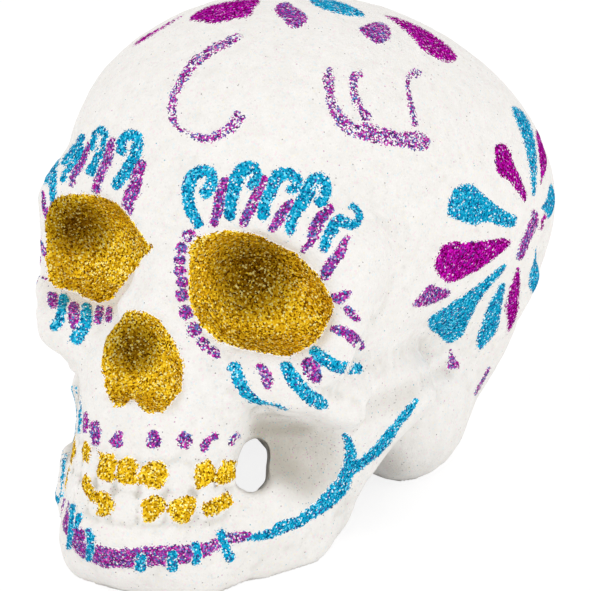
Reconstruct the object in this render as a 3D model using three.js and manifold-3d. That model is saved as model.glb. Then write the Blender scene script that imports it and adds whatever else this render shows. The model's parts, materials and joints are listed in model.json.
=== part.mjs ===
// A sugar skull: two hollow foam half shells, bonded on the skull's middle plane, with coats of glitter.
import * as THREE from "three";
import { mergeVertices } from "three/addons/utils/BufferGeometryUtils.js";
import Module from "manifold-3d";

const wasm = await Module();
wasm.setup();

// Sizes are in millimetres. Places are in the head's level frame: X to the skull's left, Y to its back,
// Z up, from the point midway between the ears. A paired feature gives the left one, and the right is
// its mirror.
const tilt = THREE.MathUtils.degToRad(26); // the face looks up by this much when the skull stands on its jaw
const baseDrop = 52.5; // from between the ears down to the table, along the table's upright

const vault = { at: [0, -5, 52.5], width: 148, length: 174, height: 124 };
const parietal = { at: [0, 24, 53], width: 160, length: 146, height: 121, blend: 20 };
const forehead = { at: [0, -42, 44], width: 114, length: 97, height: 84, blend: 16 };
const occiput = { at: [0, 43, 13], width: 130, length: 98, height: 98, blend: 18 };
const lobe = { at: [41, 26, -18], width: 44, length: 56, height: 52, blend: 12 };
const temple = { at: [0, -38, 10], width: 121, length: 88, height: 80, blend: 22 };
const brow = { from: [11, -83, 29], to: [48, -68, 27], thick: [26, 22], blend: 14 };
const bridge = { from: [0, -83, 24], to: [0, -92, -3], thick: [22, 13], blend: 9 };
const noseMound = { at: [0, -70.5, -16], width: 46, length: 50, height: 54, blend: 9 };
const outerRim = { from: [51, -65, 26], to: [49, -66, -6], thick: [16, 16], blend: 12 };
const cheekbone = { at: [34, -73, -15.5], width: 31, length: 30, height: 25, blend: 6 };
const cheekFront = { from: [38.5, -66, -15], to: [47, -44, -20], thick: [18, 18], blend: 7 };
const cheekBack = { from: [47, -44, -20], to: [56, -8, -12], thick: [18, 16], blend: 10 };
const muzzle = { at: [0, -64, -32], width: 62, length: 68, height: 58, blend: 12 };
const gums = { at: [0, -59, -60], width: 60, length: 74, height: 44, round: 6, blend: 8 };
const chin = { from: [0, -77, -82], to: [16, -66, -82], thick: [25, 23], blend: 9 };
const jawBody = { from: [16, -66, -82], to: [40, -26, -63], thick: [23, 21], blend: 9 };
const ramus = {
  back: { from: [39, -25, -57], to: [54, -8, -14], thick: [16, 17] },
  front: { from: [31, -60, -66], to: [36, -62, -26], thick: [12, 12] },
  ribs: 5,
  blend: 12,
};

const socket = { at: [31.5, -92, 9.5], width: 45, length: 44, height: 38, edge: 4 };
const socketTip = { at: [44, -86, 5], width: 24, length: 40, height: 24, blend: 8 };
const nostril = { from: [1.5, -101, -16], to: [6.5, -96, -27], thick: [21, 17], edge: 3 };
const mouthHollow = { at: [0, -34, -62], width: 56, length: 74, height: 64, edge: 5 };
const sideWindow = [
  { from: [20, -44, -43], to: [46, -86, -44.5], thick: [11, 11], edge: 2 },
  { from: [20, -44, -49.5], to: [44, -86, -51.5], thick: [12, 12], edge: 2 },
];
const cheekHollow = [
  { from: [41.5, -71.3, -41.5], to: [58, -55, -40], thick: [26, 22], edge: 3 },
  { from: [58, -55, -38], to: [67, -28, -25], thick: [18, 14], edge: 3 },
];
const face = { shift: 2, skewShare: 0.06 }; // eyes and nose lie off the middle to the left, and drop there

const shell = { wall: 15, lipWide: 3, lipDeep: 4, clearance: 0.3, facets: 24 };
const coat = { gap: 0.35, thick: 0.8, margin: 0.8, reach: 8, facets: 20 };
const upperTeeth = {
  level: -57.8,
  rise: 12,
  height: 9.8,
  widths: [7.5, 8.5, 8, 8.2, 9],
  gold: { left: [true, true, false, true, true], right: [true, true, false, true, true] },
};
const lowerTeeth = {
  level: -67.8,
  rise: 13,
  height: 9.6,
  widths: [8.5, 8.5, 10, 11.5],
  gold: { left: [false, true, true, true], right: [true, true, false, true] },
};
const tooth = { split: 0.6, proud: 1.3, root: 5, round: 2.4, bevel: 0.6, facets: 1 };
const toothGold = { inset: 0.2, thick: 0.7, gap: 0.35 };

// The flower on each temple, as petals round a centre: turned from the front over the top, with reaches
// from the centre.
const templeFlower = { back: 9, up: 53 };
const petal = { steps: 7, fullness: 1.4 };
const templePetals = [
  { colour: "cyan", turn: -6, from: 9, to: 43, width: 13 },
  { colour: "magenta", turn: 46, from: 7, to: 28, width: 9 },
  { colour: "cyan", turn: 96, from: 9, to: 37, width: 9 },
  { colour: "magenta", turn: 127, from: 14, to: 38, width: 9 },
  { colour: "cyan", turn: 170, from: 12, to: 34, width: 9 },
  { colour: "cyan", turn: 214, from: 17, to: 43, width: 8 },
  { colour: "magenta", turn: 234, from: 20, to: 50, width: 9 },
  { colour: "cyan", turn: 249, from: 26, to: 50, width: 7.5 },
  { colour: "cyan", turn: 280, from: 19, to: 48, width: 16 },
  { colour: "magenta", turn: 321, from: 12, to: 46, width: 14 },
  { colour: "violet", turn: 314, from: 41, to: 58, width: 7 },
  { colour: "violet", turn: 256, from: 2, to: 17, width: 4.5 },
];

// The view that the traced strokes and crown petals are given in, in pixels from the top left corner.
const view = {
  width: 590,
  height: 591,
  turn: 27.1,
  lift: 20.7,
  roll: -1.3,
  distance: 1150,
  pixel: 0.333,
  aim: [22.2, -27.9, 78.2],
  caution: 0.7,
};
const traced = {
  swirl_left: {
    colour: "violet",
    route: [[238, 36], [197, 59], [174, 92], [173, 119], [191, 136], [220, 132], [235, 113]],
    widths: [7, 10],
  },
  swirl_right: {
    colour: "violet",
    route: [[330, 67], [330, 99], [347, 122], [382, 138], [430, 146]],
    widths: [7, 15],
  },
  swirl_right_prong: {
    colour: "violet",
    route: [[421, 76], [408, 88], [412, 108], [416, 123]],
    widths: [9, 6],
  },
  swirl_right_inner: {
    colour: "violet",
    route: [[364, 74], [353, 88], [362, 106], [371, 116]],
    widths: [7, 7],
  },
  jaw_band: {
    colour: "violet",
    route: [[76, 519], [85, 537], [105, 552], [140, 560], [170, 557], [205, 550], [246, 537]],
    widths: [12, 9],
  },
  jaw_line: {
    colour: "cyan",
    route: [[254, 532], [305, 515], [337, 485], [352, 463], [370, 450], [385, 435], [401, 414], [417, 398]],
    widths: [8, 7],
    paired: true,
  },
  jaw_line_branch: { colour: "cyan", route: [[348, 452], [342, 431]], widths: [7, 6], paired: true },
};
const crownPetals = {
  crown_petal_front: {
    colour: "magenta",
    outline: [[188, 19], [196, 23], [226, 23], [251, 13], [258, -4], [211, 4]],
  },
  crown_petal_middle: { colour: "cyan", outline: [[305, -4], [330, 12], [364, 16], [352, -4]] },
  crown_petal_left: {
    colour: "magenta",
    outline: [[388, 17], [418, 45], [430, 57], [456, 61], [447, 43], [404, 19]],
  },
  crown_dot_right: {
    colour: "violet",
    outline: [[281, 5], [279, 19], [293, 27], [306, 20], [304, 7], [291, 2]],
  },
  crown_dot_left: {
    colour: "violet",
    outline: [[361, 25], [364, 38], [376, 43], [387, 38], [384, 27], [372, 23]],
  },
};
const stroke = { step: 16, leastSteps: 2 }; // in pixels of the view, and a count

// The spacing of the points that the surface is worked out on, and how many triangles it is then thinned to.
const grid = { step: 3.9, margin: 9, probe: 0.1, relaxShare: 0.5 };
const thin = { triangles: 4600, passShare: 0.2, evenShare: 0.00001, leastCosine: 0.3 };

const half = (size) => size / 2;

function smoothMin(a, b, blend) {
  const overlap = Math.max(blend - Math.abs(a - b), 0);
  return Math.min(a, b) - (overlap * overlap) / (4 * blend);
}
const smoothMax = (a, b, blend) => -smoothMin(-a, -b, blend);

// How far a point is outside a form; below zero is inside it.
function eggDistance([x, y, z], { at, width, length, height }) {
  const [dx, dy, dz] = [x - at[0], y - at[1], z - at[2]];
  const [rx, ry, rz] = [width, length, height].map(half);
  const reach = Math.hypot(dx / rx, dy / ry, dz / rz);
  const slope = Math.hypot(dx / rx ** 2, dy / ry ** 2, dz / rz ** 2);
  return slope === 0 ? -Math.min(rx, ry, rz) : (reach * (reach - 1)) / slope;
}

function limbDistance([x, y, z], { from, to, thick }) {
  const axis = [to[0] - from[0], to[1] - from[1], to[2] - from[2]];
  const point = [x - from[0], y - from[1], z - from[2]];
  const along = axis[0] * point[0] + axis[1] * point[1] + axis[2] * point[2];
  const share = Math.min(1, Math.max(0, along / (axis[0] ** 2 + axis[1] ** 2 + axis[2] ** 2)));
  const gap = Math.hypot(...point.map((v, i) => v - axis[i] * share));
  return gap - half(thick[0] + (thick[1] - thick[0]) * share);
}

function drumDistance([x, y, z], { at, width, length, height, round }) {
  const [rx, ry] = [half(width) - round, half(length) - round];
  const [dx, dy] = [x - at[0], y - at[1]];
  const reach = Math.hypot(dx / rx, dy / ry);
  const slope = Math.hypot(dx / rx ** 2, dy / ry ** 2);
  const side = slope === 0 ? -Math.min(rx, ry) : (reach * (reach - 1)) / slope;
  const end = Math.abs(z - at[2]) - half(height) + round;
  return Math.min(Math.max(side, end), 0) + Math.hypot(Math.max(side, 0), Math.max(end, 0)) - round;
}

// Limbs side by side from the back edge of the jaw's branch to its front edge, which blend into a plate.
const between = (a, b, share) => a.map((value, at) => value + (b[at] - value) * share);
const ramusRibs = Array.from({ length: ramus.ribs }, (_, rib) => {
  const share = rib / (ramus.ribs - 1);
  const { back, front } = ramus;
  return {
    from: between(back.from, front.from, share),
    to: between(back.to, front.to, share),
    thick: between(back.thick, front.thick, share),
  };
});

const eggs = [parietal, forehead, occiput, temple, lobe];
const faceLimbs = [brow, bridge, outerRim, cheekFront];
const faceEggs = [cheekbone, noseMound];
const jawLimbs = [chin, jawBody, ...ramusRibs.map((rib) => ({ ...rib, blend: ramus.blend }))];

// How far a point of the level frame is outside the head, a socket or the nose hole; below zero is inside.
const onFace = ([x, y, z]) => [Math.abs(x - face.shift), y, z + face.skewShare * x];
const noseDistance = (point) => limbDistance(onFace(point), nostril);
function eyeDistance(point) {
  const p = onFace(point);
  return smoothMin(eggDistance(p, socket), eggDistance(p, socketTip), socketTip.blend);
}

function headDistance([x, y, z]) {
  const [p, q] = [[Math.abs(x), y, z], onFace([x, y, z])];
  let d = eggDistance(p, vault);
  const join = (forms, distance, at = p) => {
    for (const form of forms) d = smoothMin(d, distance(at, form), form.blend);
  };
  join(eggs, eggDistance);
  join(faceLimbs, limbDistance, q);
  join([cheekBack], limbDistance);
  join(faceEggs, eggDistance, q);
  join([muzzle], eggDistance);
  join([gums], drumDistance);
  join(jawLimbs, limbDistance);
  d = smoothMax(d, -eyeDistance([x, y, z]), socket.edge);
  d = smoothMax(d, -noseDistance([x, y, z]), nostril.edge);
  d = smoothMax(d, -eggDistance(p, mouthHollow), mouthHollow.edge);
  for (const limb of [...sideWindow, ...cheekHollow]) d = smoothMax(d, -limbDistance(p, limb), limb.edge);
  return d;
}

// The box that holds a list of forms and their mirror images, with a margin round it.
function boxOf(forms, margin) {
  const box = new THREE.Box3();
  for (const form of forms) {
    const balls = form.at
      ? [[form.at, [form.width, form.length, form.height].map(half)]]
      : [form.from, form.to].map((at, end) => [at, [0, 0, 0].map(() => half(form.thick[end]))]);
    for (const [at, reach] of balls)
      for (const side of [1, -1]) {
        const centre = new THREE.Vector3(at[0] * side, at[1], at[2]);
        box.expandByPoint(centre.clone().sub(new THREE.Vector3(...reach)));
        box.expandByPoint(centre.clone().add(new THREE.Vector3(...reach)));
      }
  }
  return box.expandByScalar(margin);
}

// Grid lines from one end of a span to the other.
function gridLines(from, to) {
  const lines = [from];
  while (lines.at(-1) < to) lines.push(lines.at(-1) + grid.step);
  return lines;
}

// Cell edges as pairs of corner numbers, where a corner's bits say which side of X, Y and Z it is on.
const cellEdges = [];
for (let a = 0; a < 8; a++)
  for (let axis = 0; axis < 3; axis++) if (!(a & (1 << axis))) cellEdges.push([a, a | (1 << axis), axis]);

// Turns a distance function into a closed mesh, with a point in each cell for each sheet that crosses it.
function meshOf(distance, xs, ys, zs) {
  const [nx, ny, nz] = [xs.length, ys.length, zs.length];
  const nodeAt = (i, j, k) => (k * ny + j) * nx + i;
  const values = new Float64Array(nx * ny * nz);
  for (let k = 0; k < nz; k++)
    for (let j = 0; j < ny; j++)
      for (let i = 0; i < nx; i++) values[nodeAt(i, j, k)] = distance([xs[i], ys[j], zs[k]]);

  const points = [];
  const pointOfEdge = new Map();
  const edgeKey = (i, j, k, edge) => nodeAt(i, j, k) * cellEdges.length + edge;
  for (let k = 0; k < nz - 1; k++)
    for (let j = 0; j < ny - 1; j++)
      for (let i = 0; i < nx - 1; i++) {
        const cornerOf = (_, c) => values[nodeAt(i + (c & 1), j + ((c >> 1) & 1), k + (c >> 2))];
        const corners = Array.from({ length: 8 }, cornerOf);
        const crossed = cellEdges.map(([a, b]) => corners[a] < 0 !== corners[b] < 0);
        if (!crossed.includes(true)) continue;
        for (const sheet of sheetsOf(corners, crossed)) {
          const middle = [0, 0, 0];
          for (const edge of sheet) {
            const [a, b, axis] = cellEdges[edge];
            const share = corners[a] / (corners[a] - corners[b]);
            const low = [xs[i + (a & 1)], ys[j + ((a >> 1) & 1)], zs[k + (a >> 2)]];
            const high = [xs[i + (b & 1)], ys[j + ((b >> 1) & 1)], zs[k + (b >> 2)]];
            low[axis] += (high[axis] - low[axis]) * share;
            for (let m = 0; m < 3; m++) middle[m] += low[m] / sheet.length;
          }
          for (const edge of sheet) pointOfEdge.set(edgeKey(i, j, k, edge), points.length);
          points.push(middle);
        }
      }

  const triangles = [];
  for (let k = 0; k < nz - 1; k++)
    for (let j = 0; j < ny - 1; j++)
      for (let i = 0; i < nx - 1; i++)
        for (let axis = 0; axis < 3; axis++) {
          const step = [0, 0, 0];
          step[axis] = 1;
          const [here, next] = [values[nodeAt(i, j, k)], values[nodeAt(i + step[0], j + step[1], k + step[2])]];
          if (here < 0 === next < 0) continue;
          const [u, v] = [(axis + 1) % 3, (axis + 2) % 3];
          const around = [[0, 0], [-1, 0], [-1, -1], [0, -1]].map(([du, dv]) => {
            const at = [i, j, k];
            at[u] += du;
            at[v] += dv;
            const corner = (du < 0 ? 1 << u : 0) | (dv < 0 ? 1 << v : 0);
            const edge = cellEdges.findIndex(([a, , e]) => a === corner && e === axis);
            return pointOfEdge.get(edgeKey(...at, edge));
          });
          if (here >= 0) around.reverse();
          const [a, b, c, d] = around;
          const reach = (m, n) => Math.hypot(...points[m].map((value, at) => value - points[n][at]));
          if (reach(a, c) <= reach(b, d)) triangles.push(a, b, c, a, c, d);
          else triangles.push(a, b, d, b, c, d);
        }
  return { points, triangles };
}

// Groups the crossed edges of a cell into sheets, keeping inside corners apart on a doubtful face.
function sheetsOf(corners, crossed) {
  const parent = crossed.map((_, edge) => edge);
  const find = (e) => (parent[e] === e ? e : (parent[e] = find(parent[e])));
  for (let axis = 0; axis < 3; axis++)
    for (const side of [0, 1]) {
      const inFace = (c) => ((c >> axis) & 1) === side;
      const onBoth = ([a, b]) => inFace(a) && inFace(b);
      const edges = cellEdges.map((_, e) => e).filter((e) => crossed[e] && onBoth(cellEdges[e]));
      if (edges.length === 2) parent[find(edges[0])] = find(edges[1]);
      if (edges.length === 4)
        for (let c = 0; c < 8; c++) {
          if (!inFace(c) || corners[c] >= 0) continue;
          const [e, f] = edges.filter((edge) => cellEdges[edge].slice(0, 2).includes(c));
          parent[find(e)] = find(f);
        }
    }
  const sheets = new Map();
  crossed.forEach((isCrossed, edge) => {
    if (!isCrossed) return;
    const root = find(edge);
    if (!sheets.has(root)) sheets.set(root, []);
    sheets.get(root).push(edge);
  });
  return [...sheets.values()];
}

// Evens out a mesh's corner points along its surface, and sets them back on it.
function relax({ points, triangles }, distance) {
  const sums = points.map(() => [0, 0, 0, 0]);
  for (let t = 0; t < triangles.length; t += 3)
    for (const [from, to] of [[0, 1], [1, 2], [2, 0]]) {
      const sum = sums[triangles[t + from]];
      points[triangles[t + to]].forEach((value, axis) => (sum[axis] += value));
      sum[3] += 1;
    }
  const settled = points.map((point, n) => {
    const p = point.map((value, axis) => value + (sums[n][axis] / sums[n][3] - value) * grid.relaxShare);
    const here = distance(p);
    const slope = p.map((_, axis) => {
      const q = [...p];
      q[axis] += grid.probe;
      return (distance(q) - here) / grid.probe;
    });
    const steep = slope[0] ** 2 + slope[1] ** 2 + slope[2] ** 2;
    return p.map((value, axis) => value - (here * slope[axis]) / steep);
  });
  return { points: settled, triangles };
}

// What the squared distances of a point from a triangle's plane are made of, by the triangle's area.
function planeQuadric([a, b, c]) {
  const normal = b.clone().sub(a).cross(c.clone().sub(a));
  const area = half(normal.length());
  const [x, y, z] = normal.normalize().toArray();
  const w = -normal.dot(a);
  return [x * x, x * y, x * z, x * w, y * y, y * z, y * w, z * z, z * w, w * w].map((value) => value * area);
}

// Where the two ends of an edge would best meet, and how far that would take the surface from where it was.
function mergeOf(a, b, quadric) {
  const [xx, xy, xz, xw, yy, yz, yw, zz, zw, ww] = quadric;
  const error = ({ x, y, z }) =>
    x * (xx * x + 2 * (xy * y + xz * z + xw)) + y * (yy * y + 2 * (yz * z + yw)) + z * (zz * z + 2 * zw) + ww;
  const middle = a.clone().add(b).divideScalar(2);
  const planes = new THREE.Matrix3(xx, xy, xz, xy, yy, yz, xz, yz, zz);
  const best = new THREE.Vector3(-xw, -yw, -zw).applyMatrix3(planes.invert());
  const length = a.distanceTo(b);
  const at = best.distanceTo(middle) < length && error(best) < error(middle) ? best : middle;
  return { at, cost: error(at) + thin.evenShare * length ** 4 };
}

// Joins the ends of the edges that the surface needs least, until a number of triangles is left.
function thinned({ points, triangles }) {
  const corners = points.map((point) => new THREE.Vector3(...point));
  const quadrics = points.map(() => new Array(10).fill(0));
  const normalOf = ([a, b, c]) => b.clone().sub(a).cross(c.clone().sub(a)).normalize();
  let faces = Array.from({ length: triangles.length / 3 }, (_, t) => triangles.slice(3 * t, 3 * t + 3));
  for (const face of faces) {
    const quadric = planeQuadric(face.map((n) => corners[n]));
    for (const n of face) quadrics[n] = quadrics[n].map((value, i) => value + quadric[i]);
  }
  let joined = true;
  while (joined && faces.length > thin.triangles) {
    const around = points.map(() => []);
    for (const face of faces) for (const n of face) around[n].push(face);
    const edges = faces.flatMap(([a, b, c]) => [[a, b], [b, c], [c, a]].filter(([m, n]) => m < n));
    const merges = edges.map(([m, n]) => {
      const quadric = quadrics[m].map((value, i) => value + quadrics[n][i]);
      return { m, n, quadric, ...mergeOf(corners[m], corners[n], quadric) };
    });
    merges.sort((a, b) => a.cost - b.cost);
    const [touched, renamed] = [new Set(), new Map()];
    for (const { m, n, quadric, at } of merges.slice(0, Math.ceil(merges.length * thin.passShare))) {
      if (faces.length - 2 * renamed.size <= thin.triangles) break;
      const [ringM, ringN] = [m, n].map((end) => new Set(around[end].flat()));
      if ([...ringM, ...ringN].some((v) => touched.has(v))) continue;
      if ([...ringM].filter((v) => ringN.has(v)).length !== 4) continue;
      const kept = [...around[m], ...around[n]].filter((face) => !(face.includes(m) && face.includes(n)));
      const turnsOver = (face) => {
        const moved = face.map((v) => (v === m || v === n ? at : corners[v]));
        return normalOf(face.map((v) => corners[v])).dot(normalOf(moved)) < thin.leastCosine;
      };
      if (kept.some(turnsOver)) continue;
      corners[m] = at;
      quadrics[m] = quadric;
      renamed.set(n, m);
      for (const v of [...ringM, ...ringN]) touched.add(v);
    }
    faces = faces.map((face) => face.map((v) => renamed.get(v) ?? v));
    faces = faces.filter(([a, b, c]) => a !== b && b !== c && c !== a);
    joined = renamed.size > 0;
  }
  const used = [...new Set(faces.flat())];
  const numbers = new Map(used.map((n, number) => [n, number]));
  return { points: used.map((n) => corners[n].toArray()), triangles: faces.flat().map((n) => numbers.get(n)) };
}

// The same mesh with each point moved out along the surface's direction there.
function inflated({ points, triangles }, reach) {
  const corner = (n) => new THREE.Vector3(...points[n]);
  const outward = points.map(() => new THREE.Vector3());
  for (let t = 0; t < triangles.length; t += 3) {
    const [a, b, c] = triangles.slice(t, t + 3);
    const normal = corner(b).sub(corner(a)).cross(corner(c).sub(corner(a)));
    for (const n of [a, b, c]) outward[n].add(normal);
  }
  return {
    points: points.map((_, n) => corner(n).addScaledVector(outward[n].normalize(), reach).toArray()),
    triangles,
  };
}

// From the level frame to the table, where the skull rests on its jaw and the back of its base.
const toTable = new THREE.Matrix4().makeRotationX(-tilt).setPosition(0, 0, baseDrop);
const mirror = new THREE.Matrix4().makeScale(-1, 1, 1);
const identity = new THREE.Matrix4();

function solidOf({ points, triangles }, matrix = identity) {
  const placed = points.map((point) => new THREE.Vector3(...point).applyMatrix4(matrix).toArray());
  const triVerts = new Uint32Array(matrix.determinant() < 0 ? triangles.toReversed() : triangles);
  const vertProperties = new Float32Array(placed.flat());
  return new wasm.Manifold(new wasm.Mesh({ numProp: 3, vertProperties, triVerts }));
}

// A solid from a three.js geometry.
function solidFrom(geometry, matrix) {
  const bare = new THREE.BufferGeometry().setAttribute("position", geometry.getAttribute("position"));
  if (geometry.index) bare.setIndex(geometry.index);
  const merged = mergeVertices(bare);
  const position = merged.getAttribute("position");
  const points = Array.from({ length: position.count }, (_, n) =>
    new THREE.Vector3().fromBufferAttribute(position, n).toArray(),
  );
  return solidOf({ points, triangles: Array.from(merged.index.array) }, matrix);
}

function geometryOf(solid) {
  const { vertProperties, triVerts } = solid.getMesh();
  const geometry = new THREE.BufferGeometry();
  geometry.setAttribute("position", new THREE.BufferAttribute(new Float32Array(vertProperties), 3));
  geometry.setIndex(new THREE.BufferAttribute(new Uint32Array(triVerts), 1));
  return geometry;
}

const overrun = 400; // longer than the skull, for cutting tools
const material = (color, roughness, metalness) =>
  new THREE.MeshStandardMaterial({ color, roughness, metalness });
const materials = {
  foam: material(0xf2efe8, 0.8, 0),
  gold: material(0xb08a1e, 0.35, 0.7),
  cyan: material(0x2d9fbb, 0.35, 0.4),
  magenta: material(0x9c1479, 0.35, 0.4),
  violet: material(0x8b4a95, 0.35, 0.4),
};
const skull = new THREE.Group();
function addPart(name, solid, colour) {
  const mesh = new THREE.Mesh(geometryOf(solid), materials[colour]);
  mesh.name = name;
  skull.add(mesh);
}

// The head's surface, and a thin layer just over it that the painted shapes are cut from.
function headMesh() {
  const outer = [vault, gums, muzzle, ...eggs, ...faceLimbs, ...faceEggs, ...jawLimbs];
  const { min, max } = boxOf(outer, grid.margin);
  const left = gridLines(half(grid.step), max.x);
  const xs = [...left.map((x) => -x).reverse(), ...left];
  const raw = meshOf(headDistance, xs, gridLines(min.y, max.y), gridLines(min.z, max.z));
  return thinned(relax(raw, headDistance));
}
const head = headMesh();
const layer = solidOf(inflated(head, coat.gap + coat.thick), toTable).subtract(
  solidOf(inflated(head, coat.gap), toTable),
);

// The foam half shells, with their teeth, cut flat to stand on the table.
const cavity = {
  front: vault.at[1] - half(vault.length) + shell.wall,
  back: parietal.at[1] + half(parietal.length) - shell.wall,
  side: half(parietal.width) - shell.wall,
  up: half(vault.height) - shell.wall,
};
cavity.at = [0, half(cavity.front + cavity.back), vault.at[2]];
cavity.along = half(cavity.back - cavity.front);

function cavitySolid() {
  const place = new THREE.Matrix4().makeTranslation(...cavity.at);
  place.scale(new THREE.Vector3(cavity.side, cavity.along, cavity.up));
  return solidFrom(new THREE.SphereGeometry(1, shell.facets, half(shell.facets)), place.premultiply(toTable));
}

// A ring that follows the cavity's edge on the middle plane, half way through the wall.
function lipRing(thick, from, to) {
  const [along, up] = [cavity.along + half(shell.wall), cavity.up + half(shell.wall)];
  const ring = new THREE.Shape().absellipse(0, 0, along + half(thick), up + half(thick), 0, 2 * Math.PI);
  ring.holes.push(new THREE.Path().absellipse(0, 0, along - half(thick), up - half(thick), 0, 2 * Math.PI));
  const settings = { depth: to - from, bevelEnabled: false, curveSegments: shell.facets };
  const [x, y, z] = [0, 1, 2].map((axis) => new THREE.Vector3().setComponent(axis, 1));
  const place = new THREE.Matrix4().makeBasis(y, z, x).setPosition(from, cavity.at[1], cavity.at[2]);
  return solidFrom(new THREE.ExtrudeGeometry(ring, settings), place.premultiply(toTable));
}

function roundedPlate(width, height, radius) {
  const [x, y] = [half(width) - radius, half(height) - radius];
  const plate = new THREE.Shape();
  plate.absarc(x, y, radius, 0, half(Math.PI));
  plate.absarc(-x, y, radius, half(Math.PI), Math.PI);
  plate.absarc(-x, -y, radius, Math.PI, 1.5 * Math.PI);
  plate.absarc(x, -y, radius, 1.5 * Math.PI, 2 * Math.PI);
  return plate;
}

// Where each tooth of a row stands on the gums: its middle, facing outward, with its up along Z.
function teethOf(row) {
  const arch = new THREE.EllipseCurve(0, gums.at[1], half(gums.width), half(gums.length), -half(Math.PI), 0);
  const length = arch.getLength();
  let passed = 0;
  return row.widths.map((width, number) => {
    const share = (passed + half(width)) / length;
    passed += width;
    const [at, along] = [arch.getPointAt(share), arch.getTangentAt(share)];
    const slope = row.rise / half(gums.length);
    const right = new THREE.Vector3(along.x, along.y, along.y * slope).normalize();
    const outward = new THREE.Vector3(along.y, -along.x, 0);
    const place = new THREE.Matrix4().makeBasis(right, outward.clone().cross(right), outward);
    const back = at.y - gums.at[1] + half(gums.length);
    place.setPosition(at.x, at.y, row.level + back * slope).premultiply(toTable);
    return { number: number + 1, width: width - tooth.split, height: row.height - tooth.split, place };
  });
}

function toothSolid({ width, height, place }, side) {
  const settings = {
    depth: tooth.root + tooth.proud - tooth.bevel,
    bevelThickness: tooth.bevel,
    bevelSize: tooth.bevel,
    bevelOffset: -tooth.bevel,
    bevelSegments: 1,
    curveSegments: tooth.facets,
  };
  const geometry = new THREE.ExtrudeGeometry(roundedPlate(width, height, tooth.round), settings);
  geometry.translate(0, 0, -tooth.root);
  return solidFrom(geometry, side > 0 ? place : mirror.clone().multiply(place));
}

function goldSolid({ width, height, place }, side) {
  const [wide, high] = [width, height].map((size) => size - 2 * toothGold.inset);
  const settings = { depth: toothGold.thick, bevelEnabled: false, curveSegments: tooth.facets };
  const geometry = new THREE.ExtrudeGeometry(roundedPlate(wide, high, tooth.round), settings);
  geometry.translate(0, 0, tooth.proud + toothGold.gap);
  return solidFrom(geometry, side > 0 ? place : mirror.clone().multiply(place));
}

const sideName = (side) => (side > 0 ? "left" : "right");
const cuttingBox = (x, y, z) =>
  solidFrom(new THREE.BoxGeometry(overrun, overrun, overrun), new THREE.Matrix4().makeTranslation(x, y, z));
const belowTable = cuttingBox(0, 0, -half(overrun));
const onSide = (side) => cuttingBox(side * half(overrun), 0, 0);

function addShells() {
  const foamHead = solidOf(head, toTable).subtract(cavitySolid());
  for (const side of [1, -1]) {
    let body = foamHead.intersect(onSide(side));
    for (const row of [upperTeeth, lowerTeeth])
      for (const place of teethOf(row)) body = body.add(toothSolid(place, side).intersect(onSide(side)));
    const groove = [shell.lipWide + 2 * shell.clearance, -shell.lipDeep, shell.lipDeep + shell.clearance];
    body =
      side > 0
        ? body.subtract(lipRing(...groove))
        : body.add(lipRing(shell.lipWide, -shell.lipDeep, shell.lipDeep));
    addPart(`skull_${sideName(side)}_shell`, body.subtract(belowTable), "foam");
  }
}

// A closed form that a distance function describes, as seen from a point inside it.
function formSolid(distance, centre) {
  const geometry = new THREE.SphereGeometry(1, coat.facets, half(coat.facets));
  const position = geometry.getAttribute("position");
  const middle = new THREE.Vector3(...centre);
  for (let n = 0; n < position.count; n++) {
    const way = new THREE.Vector3().fromBufferAttribute(position, n);
    const point = middle.clone();
    for (let gap = -distance(centre); gap > grid.probe; gap = -distance(point.toArray()))
      point.addScaledVector(way, gap);
    position.setXYZ(n, ...point.toArray());
  }
  return solidFrom(geometry, toTable);
}

// Gold glitter in the eye sockets, the nose hole and on most of the teeth.
function addGold() {
  const eyeForm = (p) => eyeDistance(p) - coat.margin;
  const noseForm = (p) => noseDistance(p) - coat.margin;
  const [x, y, z] = socket.at;
  const [top, bottom] = [nostril.from, nostril.to];
  const noseCentre = [face.shift, half(top[1] + bottom[1]), half(top[2] + bottom[2])];
  addPart("eye_gold_left", layer.intersect(formSolid(eyeForm, [face.shift + x, y, z])), "gold");
  addPart("eye_gold_right", layer.intersect(formSolid(eyeForm, [face.shift - x, y, z])), "gold");
  addPart("nose_gold", layer.intersect(formSolid(noseForm, noseCentre)), "gold");
  for (const [rowName, row] of [["upper", upperTeeth], ["lower", lowerTeeth]])
    for (const side of [1, -1])
      for (const place of teethOf(row))
        if (row.gold[sideName(side)][place.number - 1])
          addPart(`tooth_gold_${rowName}_${sideName(side)}_${place.number}`, goldSolid(place, side), "gold");
}

// A petal's outline round the origin, narrow at its inner end and round at its outer end.
function petalOutline({ turn, from, to, width }) {
  const steps = petal.steps;
  const rim = Array.from({ length: steps + 1 }, (_, step) => {
    const share = step / steps;
    return [from + (to - from) * share, half(width) * Math.sin(Math.PI * share ** petal.fullness)];
  });
  const across = [...rim, ...rim.slice(1, -1).reverse().map(([r, w]) => [r, -w])];
  const angle = THREE.MathUtils.degToRad(turn);
  return across.map(([r, w]) => [
    -r * Math.cos(angle) - w * Math.sin(angle),
    r * Math.sin(angle) - w * Math.cos(angle),
  ]);
}

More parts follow.
